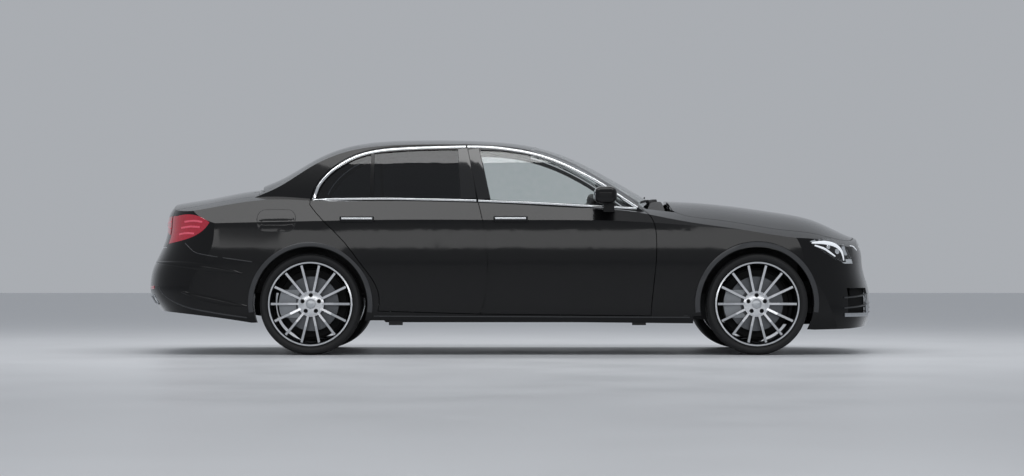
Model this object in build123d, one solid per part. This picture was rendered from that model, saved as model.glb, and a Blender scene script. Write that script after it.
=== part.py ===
"""Four-door executive sedan, built as separate panels, glass, running gear and cabin pieces.

Millimetres. +X points forward, +Y to the car's left, +Z up. The origin is on the ground, under the
middle of the car's length. Most side pieces are made for the right side (negative Y) and mirrored.
"""

import math
import os

from build123d import *

# Overall sizes
LENGTH = 4923.0
WHEELBASE = 2939.0
FRONT_OVERHANG = 839.0
HALF_WIDTH = 918.0
ROOF_HEIGHT = 1451.0
DECK_HEIGHT = 1030.0

# Datums that follow from them
NOSE = LENGTH / 2
TAIL = -LENGTH / 2
FRONT_AXLE = NOSE - FRONT_OVERHANG
REAR_AXLE = FRONT_AXLE - WHEELBASE

# Wheels and running gear
TYRE_RADIUS = 336.0
TYRE_WIDTH = 245.0
RIM_RADIUS = 277.0
HALF_TRACK = 795.0
SPOKES = 14
SPOKE_WIDTH = 15.0
LUG_CIRCLE = 56.0
LUG_HOLE = 13.0
LUG_COUNT = 5
DISC_RADIUS = 180.0
DISC_THICKNESS = 32.0
HUB_RADIUS = 32.0
KINGPIN_Y = 725.0
ARCH_RADIUS = 375.0
LIP_WIDTH = 38.0
LIP_RISE = 12.0

# Walls, gaps and seats
DOOR_THICKNESS = 92.0
PANEL = 22.0
SKIN = 12.0
ROOF_THICKNESS = 30.0
GLASS = 5.0
SHUT_GAP = 5.0
SEAT = 0.3
FLOOR_PLATE = 26.0
FLOOR_HEIGHT = 240.0
BOOT_FLOOR_HEIGHT = 432.0
SILL_HEIGHT = 222.0

# Places along the car
DOOR_FRONT = FRONT_AXLE - 665.0
DOOR_SPLIT = DOOR_FRONT - 1117.0
FIREWALL = DOOR_FRONT + 28.0
HOOD_REAR = DOOR_FRONT + 103.0
HOOD_FRONT = NOSE - 128.0
SCREEN_BASE = DOOR_FRONT - 7.0
SCREEN_HEADER = DOOR_FRONT - 777.0
ROOF_REAR = DOOR_FRONT - 2007.0
WINDOW_REAR_BASE = DOOR_FRONT - 2640.0
LID_FRONT = DOOR_FRONT - 2665.0
LID_HALF_WIDTH = 640.0
LID_BOTTOM = 712.0

# Doors: hinges, frames and glass
DOOR_HINGE_X = {"front": DOOR_FRONT - 30.0, "rear": DOOR_SPLIT - SHUT_GAP / 2 - 30.0}
DOOR_HINGE_Y = 901.0
DOOR_HINGE_Z = (560.0, 740.0)
PIN_RADIUS = 5.0
DOOR_FLANGE = 18.0
DOOR_REBATE = {"front": 30.0, "rear": 24.0}
PANE_DEPTH = 8.0
DIVIDER_X = REAR_AXLE + 398.0
DIVIDER_WIDTH = 24.0
HANDLE_LENGTH = 226.0
HANDLE_HEIGHT = 40.0

# Middle pillar, hood and lid hinges, lamps and the panels between the sides
PILLAR_WIDTH = 34.0
PILLAR_DEPTH = 48.0
PILLAR_INSIDE = 30.0
PILLAR_LIMIT = 570.0
HOOD_HINGE_X = HOOD_REAR + 18.0
HOOD_HINGE_Y = 236.0
HOOD_HINGE_Z = DECK_HEIGHT - 45.0
HOOD_CHEEK = 6.5
LID_HINGE_X = LID_FRONT - 14.0
LID_HINGE_Y = 400.0
LID_HINGE_Z = DECK_HEIGHT + 46.0
LAMP_DEPTH = 80.0
TAIL_PANEL_HALF = 500.0
COWL_HALF_WIDTH = 690.0
GRILLE_HALF_WIDTH = 430.0
GRILLE_BOTTOM = 488.0
GRILLE_TOP = 728.0

# Floor, frame, suspension and cabin
RAIL_OUTSIDE = 460.0
RAIL_BOTTOM = 400.0
RAIL_TOP = 480.0
SUBFRAME_TOP = 222.0
KINGPIN_REACH = 145.0
ARM_EYE = 20.0
DRIVE_RADIUS = 66.0
JACK_PAD_BOTTOM = 196.0
LINER_RADIUS = 386.0
LINER_WALL = 8.0
WHEELHOUSE_INSIDE = 640.0
HUB_FACE = 40.0
DISC_PLANE = -22.0
SPINDLE_END = 100.0
TUNNEL_HALF_WIDTH = 130.0
TUNNEL_REAR = 185.0
FLOOR_MARGIN = 1.2
DASH_HALF_WIDTH = 744.0
SEAT_WIDTH = 480.0

OUT = 1300.0
FAR = 6000.0
PAST_MIDDLE = 1000.0


class Curve:
    """A natural cubic curve through (station, value) points, straight beyond its ends."""

    def __init__(self, points):
        self.x = [p[0] for p in points]
        self.v = [p[1] for p in points]
        last = len(points) - 1
        self.h = [b - a for a, b in zip(self.x, self.x[1:])]
        slope = [(b - a) / h for a, b, h in zip(self.v, self.v[1:], self.h)]
        diagonal = [1.0] * (last + 1)
        right = [0.0] * (last + 1)
        for i in range(1, last):
            share = self.h[i - 1] / diagonal[i - 1] if i > 1 else 0.0
            diagonal[i] = 2 * (self.h[i - 1] + self.h[i]) - share * self.h[i - 1]
            right[i] = 6 * (slope[i] - slope[i - 1]) - share * right[i - 1]
        self.m = [0.0] * (last + 1)
        for i in range(last - 1, 0, -1):
            self.m[i] = (right[i] - self.h[i] * self.m[i + 1]) / diagonal[i]
        self.start = slope[0] - self.h[0] * self.m[1] / 6
        self.end = slope[-1] + self.h[-1] * self.m[-2] / 6

    def __call__(self, x):
        if x <= self.x[0]:
            return self.v[0] + self.start * (x - self.x[0])
        if x >= self.x[-1]:
            return self.v[-1] + self.end * (x - self.x[-1])
        i = max(k for k in range(len(self.h)) if self.x[k] <= x)
        h, left, gone = self.h[i], self.x[i + 1] - x, x - self.x[i]
        bend = (self.m[i] * left**3 + self.m[i + 1] * gone**3) / (6 * h)
        line = (self.v[i] / h - self.m[i] * h / 6) * left
        return bend + line + (self.v[i + 1] / h - self.m[i + 1] * h / 6) * gone


def span(low, high, count):
    return [low + (high - low) * i / (count - 1) for i in range(count)]


# Body curves: half widths, heights and end profiles
side_plan = Curve(
    [
        (TAIL - 140, HALF_WIDTH - 148),
        (TAIL + 210, HALF_WIDTH - 56),
        (TAIL + 710, HALF_WIDTH - 10),
        (REAR_AXLE + 310, HALF_WIDTH),
        (DOOR_SPLIT + 160, HALF_WIDTH - 4),
        (DOOR_FRONT - 50, HALF_WIDTH - 4),
        (FRONT_AXLE - 120, HALF_WIDTH - 8),
        (NOSE - 460, HALF_WIDTH - 38),
        (NOSE - 160, HALF_WIDTH - 92),
        (NOSE + 140, HALF_WIDTH - 178),
    ]
)
side_section = Curve(
    [
        (100, -75),
        (230, -40),
        (300, -22),
        (380, -14),
        (480, -6),
        (620, 0),
        (740, -3),
        (830, -9),
        (900, -5),
        (1100, 10),
    ]
)
crease = Curve(
    [
        (TAIL - 40, 850),
        (REAR_AXLE - 583, 868),
        (REAR_AXLE + 16, 880),
        (REAR_AXLE + 616, 889),
        (DOOR_SPLIT + 160, 887),
        (DOOR_FRONT - 167, 878),
        (FRONT_AXLE - 312, 842),
        (FRONT_AXLE + 58, 810),
        (NOSE - 360, 770),
        (NOSE + 140, 720),
    ]
)
shoulder_slope = Curve(
    [
        (TAIL - 140, 0.75),
        (REAR_AXLE - 384, 0.74),
        (REAR_AXLE + 66, 0.78),
        (DOOR_SPLIT - 440, 0.74),
        (DOOR_SPLIT + 110, 0.72),
        (DOOR_FRONT - 607, 0.78),
        (DOOR_FRONT - 207, 0.92),
        (DOOR_FRONT + 143, 1.06),
        (FRONT_AXLE - 122, 1.2),
        (NOSE + 140, 1.25),
    ]
)
deck = Curve(
    [
        (TAIL - 140, DECK_HEIGHT - 90),
        (TAIL + 190, DECK_HEIGHT - 26),
        (TAIL + 345, DECK_HEIGHT + 8),
        (TAIL + 588, DECK_HEIGHT + 53),
        (TAIL + 760, DECK_HEIGHT + 78),
        (REAR_AXLE + 316, DECK_HEIGHT + 50),
        (DOOR_FRONT - 457, DECK_HEIGHT + 10),
        (DOOR_FRONT + 132, DECK_HEIGHT),
        (FRONT_AXLE - 248, DECK_HEIGHT - 17),
        (FRONT_AXLE + 28, DECK_HEIGHT - 50),
        (NOSE - 480, DECK_HEIGHT - 105),
        (NOSE - 260, DECK_HEIGHT - 177),
        (NOSE - 118, DECK_HEIGHT - 242),
        (NOSE + 140, DECK_HEIGHT - 410),
    ]
)
deck_crown = Curve(
    [
        (TAIL - 140, 1.3e-4),
        (REAR_AXLE - 284, 1.45e-4),
        (REAR_AXLE + 116, 1.3e-4),
        (REAR_AXLE + 416, 0.85e-4),
        (DOOR_SPLIT - 340, 0.58e-4),
        (DOOR_SPLIT + 160, 0.69e-4),
        (DOOR_FRONT - 557, 0.99e-4),
        (DOOR_FRONT - 157, 1.3e-4),
        (DOOR_FRONT + 143, 1.85e-4),
        (FRONT_AXLE - 222, 2.1e-4),
        (NOSE + 140, 2.2e-4),
    ]
)
roof = Curve(
    [
        (TAIL + 160, ROOF_HEIGHT - 601),
        (TAIL + 671, ROOF_HEIGHT - 366),
        (TAIL + 764, ROOF_HEIGHT - 322),
        (TAIL + 918, ROOF_HEIGHT - 254),
        (TAIL + 1028, ROOF_HEIGHT - 193),
        (TAIL + 1193, ROOF_HEIGHT - 101),
        (TAIL + 1347, ROOF_HEIGHT - 47),
        (TAIL + 1697, ROOF_HEIGHT - 4),
        (TAIL + 1929, ROOF_HEIGHT),
        (TAIL + 2237, ROOF_HEIGHT - 6),
        (DOOR_FRONT - 934, ROOF_HEIGHT - 25),
        (DOOR_FRONT - 749, ROOF_HEIGHT - 58),
        (DOOR_FRONT - 503, ROOF_HEIGHT - 147),
        (DOOR_FRONT - 256, ROOF_HEIGHT - 276),
        (DOOR_FRONT - 9, ROOF_HEIGHT - 419),
        (DOOR_FRONT + 343, ROOF_HEIGHT - 631),
    ]
)
roof_crown = Curve(
    [
        (TAIL + 160, 1.9e-4),
        (REAR_AXLE - 84, 1.8e-4),
        (REAR_AXLE + 316, 1.6e-4),
        (DOOR_SPLIT - 140, 1.43e-4),
        (DOOR_FRONT - 807, 1.5e-4),
        (DOOR_FRONT - 407, 1.75e-4),
        (DOOR_FRONT - 57, 2.0e-4),
        (DOOR_FRONT + 343, 2.1e-4),
    ]
)
cabin_plan = Curve(
    [
        (TAIL + 160, HALF_WIDTH - 318),
        (TAIL + 760, HALF_WIDTH - 228),
        (REAR_AXLE + 16, HALF_WIDTH - 163),
        (REAR_AXLE + 516, HALF_WIDTH - 118),
        (DOOR_SPLIT + 160, HALF_WIDTH - 106),
        (DOOR_FRONT - 457, HALF_WIDTH - 118),
        (DOOR_FRONT - 57, HALF_WIDTH - 153),
        (DOOR_FRONT + 343, HALF_WIDTH - 228),
    ]
)
CABIN_BASE = 1000.0
TUMBLEHOME = 0.36
CABIN_CURVE = 4.5e-4
CABIN_WALL = 52.0
nose = Curve(
    [
        (60, NOSE - 110),
        (171, NOSE - 36),
        (215, NOSE - 14),
        (314, NOSE),
        (446, NOSE - 12),
        (534, NOSE - 36),
        (699, NOSE - 60),
        (766, NOSE - 94),
        (850, NOSE - 172),
        (1000, NOSE - 322),
        (1200, NOSE - 562),
    ]
)
tail = Curve(
    [
        (60, TAIL + 170),
        (292, TAIL + 75),
        (380, TAIL + 13),
        (469, TAIL),
        (534, TAIL + 8),
        (611, TAIL + 36),
        (716, TAIL + 86),
        (860, TAIL + 121),
        (953, TAIL + 140),
        (1008, TAIL + 190),
        (1100, TAIL + 312),
        (1200, TAIL + 462),
    ]
)
NOSE_BOW, NOSE_CORNER, NOSE_POWER = 260.0, 870.0, 9.6
TAIL_BOW, TAIL_CORNER, TAIL_POWER = 180.0, 700.0, 9.0
inner_section = Curve(
    [
        (150, -DOOR_THICKNESS - 20),
        (300, -DOOR_THICKNESS - 16),
        (600, -DOOR_THICKNESS),
        (800, -DOOR_THICKNESS),
        (1000, -DOOR_THICKNESS),
    ]
)


def low_y(x, z):
    return side_plan(x) + side_section(z)


def high_y(x, z):
    return low_y(x, crease(x)) - (z - crease(x)) * shoulder_slope(x)


def cabin_y(x, z):
    rise = z - CABIN_BASE
    return cabin_plan(x) - TUMBLEHOME * rise - CABIN_CURVE * rise * rise


def inner_y(x, z):
    blend = min(max((z - 860) / 170, 0.0), 1.0)
    blend = blend * blend * (3 - 2 * blend)
    return (1 - blend) * (side_plan(x) + inner_section(z)) + blend * (cabin_y(x, z) - CABIN_WALL)


def deck_z(x, y):
    return deck(x) - deck_crown(x) * y * y


def roof_z(x, y):
    return roof(x) - roof_crown(x) * y * y


def nose_x(y, z):
    metres = abs(y) / 1000
    return nose(z) - NOSE_BOW * metres**2 - NOSE_CORNER * metres**NOSE_POWER


def tail_x(y, z):
    metres = abs(y) / 1000
    return tail(z) + TAIL_BOW * metres**2 + TAIL_CORNER * metres**TAIL_POWER


def surface(rows):
    return Face.make_surface_from_array_of_points(rows, tol=0.02)


BODY_X = span(TAIL - 138, NOSE + 138, 23)
CABIN_X = span(TAIL + 200, DOOR_FRONT + 300, 19)
ACROSS = span(-1000, 1000, 7)


def side_face(half_width, stations, heights):
    """The right-hand skin whose half width is a function of station and height."""
    return surface([[(x, -half_width(x, z), z) for x in stations] for z in heights])


def top_face(height, stations):
    """A full-width upper skin whose height is a function of station and offset."""
    return surface([[(x, y, height(x, y)) for x in stations] for y in ACROSS])


def end_face(station):
    """A nose or tail skin whose station is a function of offset and height."""
    offsets, heights = span(-960, 960, 25), span(70, 1180, 17)
    return surface([[(station(y, z), y, z) for y in offsets] for z in heights])


def swept(face, x=0.0, y=0.0, z=0.0):
    return Solid.extrude(face, Vector(x, y, z))


def block(x0, x1, y0, y1, z0, z1):
    centre = ((x0 + x1) / 2, (y0 + y1) / 2, (z0 + z1) / 2)
    return Pos(*centre) * Box(x1 - x0, y1 - y0, z1 - z0)


def side_prism(outline, y0=-OUT, y1=0.0):
    """A closed side-view outline, as edges in X and Z, carried across the car from y0 to y1."""
    face = Plane.XZ.from_local_coords(Face(wire(outline)))
    return Pos(0, y0, 0) * Solid.extrude(face, Vector(0, y1 - y0, 0))


def top_prism(outline, z0, z1):
    """A closed top-view outline, as edges in X and Y, carried up from z0 to z1."""
    return Pos(0, 0, z0) * Solid.extrude(Face(wire(outline)), Vector(0, 0, z1 - z0))


def front_prism(outline, x0, x1):
    """A closed front-view outline, as edges in Y and Z, carried along the car from x0 to x1."""
    face = Plane.YZ.from_local_coords(Face(wire(outline)))
    return Pos(x0, 0, 0) * Solid.extrude(face, Vector(x1 - x0, 0, 0))


def loop(*runs):
    """A closed outline of runs. A run is a list of points: two make a line, more make a curve."""
    closed = []
    for run, following in zip(runs, runs[1:] + runs[:1]):
        closed.append(list(run) + ([following[0]] if run[-1] != following[0] else []))
    return closed


def polygon(points):
    return [[a, b] for a, b in zip(points, points[1:] + points[:1])]


def wire(outline):
    return Wire([Line(*run) if len(run) == 2 else Spline(*run) for run in outline])


def corner(a, b, c, d):
    """Where the line through a and b meets the line through c and d, or between b and c."""
    ux, uy, vx, vy = b[0] - a[0], b[1] - a[1], d[0] - c[0], d[1] - c[1]
    cross = ux * vy - uy * vx
    if abs(cross) < 0.05 * math.hypot(ux, uy) * math.hypot(vx, vy):
        return ((b[0] + c[0]) / 2, (b[1] + c[1]) / 2)
    along = ((c[0] - a[0]) * vy - (c[1] - a[1]) * vx) / cross
    return (a[0] + along * ux, a[1] + along * uy)


def grown(outline, distance):
    """The outline moved outwards, or inwards where the distance is negative."""
    ring = [point for run in outline for point in run]
    area = sum(a[0] * b[1] - b[0] * a[1] for a, b in zip(ring, ring[1:] + ring[:1]))
    way = math.copysign(distance, distance * area)
    shifted = []
    for run in outline:
        moved_run = []
        for i, (x, y) in enumerate(run):
            a, b = run[max(i - 1, 0)], run[min(i + 1, len(run) - 1)]
            size = math.hypot(b[0] - a[0], b[1] - a[1])
            moved_run.append((x + way * (b[1] - a[1]) / size, y - way * (b[0] - a[0]) / size))
        shifted.append(moved_run)
    for before, after in zip(shifted, shifted[1:] + shifted[:1]):
        meet = corner(before[-2], before[-1], after[0], after[1])
        before[-1] = after[0] = meet
    return shifted


def one(shape):
    """The largest solid of a shape, without slivers."""
    return max(shape.solids(), key=lambda s: s.volume)


def left(shape):
    return mirror(shape, about=Plane.XZ)


def wheel_cylinder(axle, radius, y0, y1):
    return Pos(axle, (y0 + y1) / 2, TYRE_RADIUS) * Rot(90, 0, 0) * Cylinder(radius, y1 - y0)


# Skins shared by the panels
cabin_face = side_face(cabin_y, CABIN_X, span(880, 1480, 5))
deck_face = top_face(deck_z, BODY_X)
roof_face = top_face(roof_z, CABIN_X)
nose_face = end_face(nose_x)
tail_face = end_face(tail_x)
right_half = block(-FAR, FAR, -OUT, 0, -FAR, FAR)

# Side-view outlines of the right-hand doors and windows
BELT = [
    (REAR_AXLE - 4, 1022),
    (REAR_AXLE + 451, 1027),
    (DOOR_SPLIT - 67, 1015),
    (DOOR_FRONT - 639, 990),
    (DOOR_FRONT - 83, 960),
]
belt = Curve(BELT)


def split_line(shift):
    """The line between front and rear door, from the roof down."""
    return [
        (DOOR_SPLIT - 136 + shift, 1397),
        (DOOR_SPLIT - 60 + shift, 1026),
        (DOOR_SPLIT - 22 + shift, 870),
        (DOOR_SPLIT + shift, 718),
        (DOOR_SPLIT + shift, 424),
        (DOOR_SPLIT - 18 + shift, 341),
        (DOOR_SPLIT - 40 + shift, SILL_HEIGHT + 50),
    ]


def front_door_outline():
    split = split_line(SHUT_GAP / 2)
    front = [
        (DOOR_FRONT - 35, SILL_HEIGHT + 38),
        (DOOR_FRONT - 22, 424),
        (DOOR_FRONT - 4, 600),
        (DOOR_FRONT, 760),
        (DOOR_FRONT - 25, 890),
        (DOOR_FRONT - 85, 958),
    ]
    frame = [
        (DOOR_FRONT - 85, 958),
        (DOOR_FRONT - 248, 1070),
        (DOOR_FRONT - 400, 1170),
        (DOOR_FRONT - 636, 1290),
        (DOOR_FRONT - 815, 1350),
        (DOOR_FRONT - 994, 1382),
        split[0],
    ]
    return loop(split, [split[-1], front[0]], front, frame)


def rear_door_outline():
    split = split_line(-SHUT_GAP / 2)
    rear = [
        (REAR_AXLE + 446, SILL_HEIGHT + 70),
        (REAR_AXLE + 424, 475),
        (REAR_AXLE + 342, 590),
        (REAR_AXLE + 240, 726),
        (REAR_AXLE + 98, 873),
        (REAR_AXLE - 6, 990),
    ]
    frame = [
        (REAR_AXLE - 6, 1022),
        (REAR_AXLE + 38, 1142),
        (REAR_AXLE + 132, 1241),
        (REAR_AXLE + 288, 1331),
        (REAR_AXLE + 450, 1370),
        (REAR_AXLE + 680, 1388),
        split[0],
    ]
    return loop(split, [split[-1], rear[0]], rear, [rear[-1], frame[0]], frame)


def front_window_outline():
    sill = DOOR_FRONT - 165
    foot = DOOR_SPLIT + 25
    return loop(
        [(foot, belt(foot) + 12), (foot - 72, 1360)],
        [
            (foot - 72, 1360),
            (DOOR_FRONT - 994, 1354),
            (DOOR_FRONT - 815, 1322),
            (DOOR_FRONT - 636, 1262),
            (DOOR_FRONT - 400, 1142),
            (DOOR_FRONT - 248, 1042),
            (sill, belt(sill) + 14),
        ],
        [(sill, belt(sill) + 14), (foot, belt(foot) + 12)],
    )


def rear_window_outline():
    head, foot = DOOR_SPLIT - 192, DOOR_SPLIT - 172
    back = DIVIDER_X + DIVIDER_WIDTH / 2
    return loop(
        [(foot, belt(foot) + 12), (head, 1364)],
        [(head, 1364), (REAR_AXLE + 680, 1359), (back, 1339)],
        [(back, 1339), (back, belt(back) + 12)],
        [(back, belt(back) + 12), (foot, belt(foot) + 12)],
    )


def quarter_window_outline():
    front = DIVIDER_X - DIVIDER_WIDTH / 2
    tip = REAR_AXLE + 30
    return loop(
        [(front, belt(front) + 12), (front, 1332)],
        [
            (front, 1332),
            (REAR_AXLE + 288, 1301),
            (REAR_AXLE + 150, 1218),
            (REAR_AXLE + 68, 1130),
            (tip, belt(tip) + 14),
        ],
        [(tip, belt(tip) + 14), (front, belt(front) + 12)],
    )


# Top-view outlines of the centre panels
def screen_outline():
    base, head = SCREEN_BASE, SCREEN_HEADER
    half_base, half_head = 690, 540
    edge = [(base - 70, -half_base), ((base + head) / 2 - 20, -628), (head - 55, -half_head)]
    header = [(head - 55, -half_head), (head, 0), (head - 55, half_head)]
    other = [(x, -y) for x, y in reversed(edge)]
    foot = [(base - 70, half_base), (base, 0), (base - 70, -half_base)]
    return loop(edge, header, other, foot)


def roof_outline():
    front, rear = SCREEN_HEADER - SEAT, ROOF_REAR
    edge = [
        (front - 55, -540),
        ((front + rear) / 2, -565),
        (rear + 40, -520),
    ]
    return loop(
        edge,
        [edge[-1], (rear, 0), (rear + 40, 520)],
        [(x, -y) for x, y in reversed(edge)],
        [(front - 55, 540), (front, 0), (front - 55, -540)],
    )


def rear_screen_outline():
    front, rear = ROOF_REAR - SEAT, WINDOW_REAR_BASE
    return loop(
        [(front + 40, -520), (rear + 30, -580)],
        [(rear + 30, -580), (rear, 0), (rear + 30, 580)],
        [(rear + 30, 580), (front + 40, 520)],
        [(front + 40, 520), (front, 0), (front + 40, -520)],
    )


def hood_outline():
    edge = [
        (HOOD_REAR + 20, -640),
        (HOOD_REAR + 90, -735),
        (HOOD_REAR + 300, -760),
        (FRONT_AXLE - 30, -778),
        (NOSE - 600, -762),
        (NOSE - 380, -722),
    ]
    tip = [(NOSE - 380, -722), (NOSE - 205, -520), (HOOD_FRONT, 0)]
    return loop(
        edge,
        tip + [(x, -y) for x, y in reversed(tip[:-1])],
        [(x, -y) for x, y in reversed(edge)],
        [(HOOD_REAR + 20, 640), (HOOD_REAR, 0), (HOOD_REAR + 20, -640)],
    )


# Outer body, right half
def bottom_cut_outline():
    """What is cut away under the bumpers and sills, in side view."""
    return loop(
        [(NOSE + 200, 190), (NOSE - 30, 186)],
        [(NOSE - 30, 186), (NOSE - 210, 171)],
        [(NOSE - 210, 171), (FRONT_AXLE + 384, 165)],
        [(FRONT_AXLE + 384, 165), (FRONT_AXLE - 420, SILL_HEIGHT - 14)],
        [(FRONT_AXLE - 420, SILL_HEIGHT - 14), (REAR_AXLE + 420, SILL_HEIGHT + 6)],
        [(REAR_AXLE + 420, SILL_HEIGHT + 6), (REAR_AXLE - 390, 212)],
        [(REAR_AXLE - 390, 212), (TAIL + 340, 268), (TAIL - 200, 300)],
        [(TAIL - 200, 300), (TAIL - 200, -50)],
        [(TAIL - 200, -50), (NOSE + 200, -50)],
        [(NOSE + 200, -50), (NOSE + 200, 190)],
    )


def arch_lip(axle, skin):
    """A band round the wheel opening, raised from the body side and tapering away from the opening."""
    outer, rim = ARCH_RADIUS + LIP_WIDTH, ARCH_RADIUS
    inside, crest = -HALF_WIDTH + 70, -HALF_WIDTH - 8
    profile = loop(
        [(rim - 5, inside), (outer, inside)],
        [(outer, inside), (outer, -HALF_WIDTH + 8)],
        [(outer, -HALF_WIDTH + 8), (rim + 6, crest)],
        [(rim + 6, crest), (rim - 5, crest)],
        [(rim - 5, crest), (rim - 5, inside)],
    )
    ring = revolve(Face(wire(profile)), axis=Axis.Y)
    ring = Pos(axle, 0, TYRE_RADIUS) * ring
    return ring & (Pos(0, -LIP_RISE, 0) * skin)


def plain_body():
    """The outer form of the right side, carried past the middle of the car, before wheel openings."""
    heights = span(60, 1200, 11)
    lower = swept(side_face(low_y, BODY_X, heights), y=PAST_MIDDLE)
    lower = lower & swept(side_face(high_y, BODY_X, heights[::5]), y=2 * OUT)
    lower = lower & swept(deck_face, z=-2000)
    lower = lower & swept(nose_face, x=-FAR) & swept(tail_face, x=FAR)
    cabin = swept(cabin_face, y=PAST_MIDDLE) & swept(roof_face, z=-2000)
    cabin = cabin & block(-FAR, FAR, -OUT, OUT, 890, 2000)
    return one(lower + cabin)


def outer_body(body):
    """The right half with arch lips, open wheel arches and its underside trimmed."""
    lips = [arch_lip(axle, body) for axle in (FRONT_AXLE, REAR_AXLE)]
    body = body & right_half
    for lip in lips:
        body = one(body + lip)
    for axle in (FRONT_AXLE, REAR_AXLE):
        body = body - wheel_cylinder(axle, ARCH_RADIUS, -OUT, -HALF_WIDTH + 330)
    return one(body - side_prism(bottom_cut_outline(), -OUT, OUT))


def cabin_cavity():
    """The room inside the right half: cabin and boot."""
    side = swept(side_face(inner_y, BODY_X, span(150, 1480, 13)), y=PAST_MIDDLE)
    cabin = side & swept(roof_face.moved(Location((0, 0, -ROOF_THICKNESS))), z=-2000)
    cabin = cabin & block(WINDOW_REAR_BASE + 20, FIREWALL, -OUT, OUT, 0, 2000)
    boot = side & swept(deck_face.moved(Location((0, 0, -PANEL - 8))), z=-2000)
    boot = boot & swept(tail_face.moved(Location((50, 0, 0))), x=FAR)
    boot = boot & block(-FAR, REAR_AXLE, -OUT, OUT, 0, 2000)
    return one(cabin + boot)


def moved(shape, x=0.0, y=0.0, z=0.0):
    return Pos(x, y, z) * shape


plain = plain_body()
outer = outer_body(plain)
cavity = cabin_cavity()
side_wall = outer - cavity
front_zone = plain & block(DOOR_FRONT - 200, FAR, -OUT, OUT, 0, FAR)
rear_zone = plain & block(-FAR, REAR_AXLE + 200, -OUT, OUT, 0, FAR)
room = moved(cavity, y=SEAT)
lower_skin = swept(deck_face, z=-2000) & swept(tail_face, x=FAR)

parts = {}


def pair(name, shape):
    """Keeps a right-hand piece and its mirror image."""
    parts[name + "_right"] = shape
    parts[name + "_left"] = left(shape)


def both(shape):
    """A right-hand solid and its mirror image as two solids of one piece."""
    return Compound(list(shape.solids()) + list(left(shape).solids()))


def whole(shape):
    """A right half joined with its mirror image."""
    return one(shape + left(shape))


# Outlines of the outer panels in side view
def fender_outline():
    return loop(
        [(DOOR_FRONT - 84, 968), (DOOR_FRONT + 45, 1014)],
        [(DOOR_FRONT + 45, 1014), (NOSE, 1014)],
        [(NOSE, 1014), (NOSE, SILL_HEIGHT + 36)],
        [(NOSE, SILL_HEIGHT + 36), (DOOR_FRONT - 84, SILL_HEIGHT + 36)],
        [(DOOR_FRONT - 84, SILL_HEIGHT + 36), (DOOR_FRONT - 84, 968)],
    )


def front_bumper_outline():
    return loop(
        [(FRONT_AXLE + 200, 100), (FRONT_AXLE + 258, 625)],
        [(FRONT_AXLE + 258, 625), (FRONT_AXLE + 340, 742)],
        [(FRONT_AXLE + 340, 742), (NOSE - 205, 655)],
        [(NOSE - 205, 655), (NOSE - 190, 900)],
        [(NOSE - 190, 900), (NOSE + 100, 900)],
        [(NOSE + 100, 900), (NOSE + 100, 100)],
        [(NOSE + 100, 100), (FRONT_AXLE + 200, 100)],
    )


def headlamp_outline():
    return loop(
        [(FRONT_AXLE + 343, 746), (NOSE - 400, 768), (NOSE - 300, 762)],
        [(NOSE - 300, 762), (NOSE - 236, 708), (NOSE - 185, 602)],
        [(NOSE - 185, 602), (NOSE - 246, 602)],
        [(NOSE - 246, 602), (NOSE - 330, 640), (NOSE - 411, 690), (FRONT_AXLE + 343, 746)],
    )


def tail_lamp_outline():
    return loop(
        [(TAIL + 480, 873), (TAIL + 422, 908), (TAIL + 250, 918)],
        [(TAIL + 250, 918), (TAIL - 50, 918)],
        [(TAIL - 50, 918), (TAIL - 50, 728)],
        [(TAIL - 50, 728), (TAIL + 155, 728)],
        [(TAIL + 155, 728), (TAIL + 315, 762), (TAIL + 436, 821), (TAIL + 480, 873)],
    )


def rear_bumper_outline():
    return loop(
        [(REAR_AXLE - 150, 100), (REAR_AXLE - 290, 600)],
        [(REAR_AXLE - 290, 600), (REAR_AXLE - 588, 642), (REAR_AXLE - 755, 673), (TAIL + 300, 700)],
        [(TAIL + 300, 700), (TAIL - 100, 700)],
        [(TAIL - 100, 700), (TAIL - 100, 100)],
        [(TAIL - 100, 100), (REAR_AXLE - 150, 100)],
    )


def lid_outline(gap):
    """The boot lid from above, with its front edge bowed like the rear window."""
    half, front = LID_HALF_WIDTH + gap, LID_FRONT + gap
    return loop(
        [(front + 30, -half), (TAIL - 100, -half)],
        [(TAIL - 100, -half), (TAIL - 100, half)],
        [(TAIL - 100, half), (front + 30, half)],
        [(front + 30, half), (front, 0), (front + 30, -half)],
    )


def pillar_outline():
    """The middle pillar's width, round the line between the doors."""
    rear = split_line(-PILLAR_WIDTH / 2)
    front = split_line(PILLAR_WIDTH / 2)
    top = [(rear[0][0] - 2, 1406), (front[0][0] - 2, 1406)]
    sole = FLOOR_HEIGHT + FLOOR_MARGIN
    foot = [(front[-1][0], sole), (rear[-1][0], sole)]
    return loop(
        rear[::-1],
        [rear[0], top[0]],
        [top[0], top[1]],
        [top[1], front[0]],
        front,
        [front[-1], foot[0]],
        [foot[0], foot[1]],
        [foot[1], rear[-1]],
    )


def hinge(x, z):
    """A lug with a pin, fixed to the pillar, and the notch and bore that it needs in the door."""
    y = -DOOR_HINGE_Y
    lug = block(x - 9, x + 2.5, y - 5, y + 62, z - 9, z + 9)
    lug = lug + block(x - 9, x + 46, y + 46, y + 62, z - 9, z + 9)
    lug = lug + Pos(x, y, z) * Cylinder(PIN_RADIUS, 56)
    notch = block(x - 13, x + 70, y - 6, y + 120, z - 11, z + 11)
    return lug, notch + Pos(x, y, z) * Cylinder(PIN_RADIUS + SEAT, 60)


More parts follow.
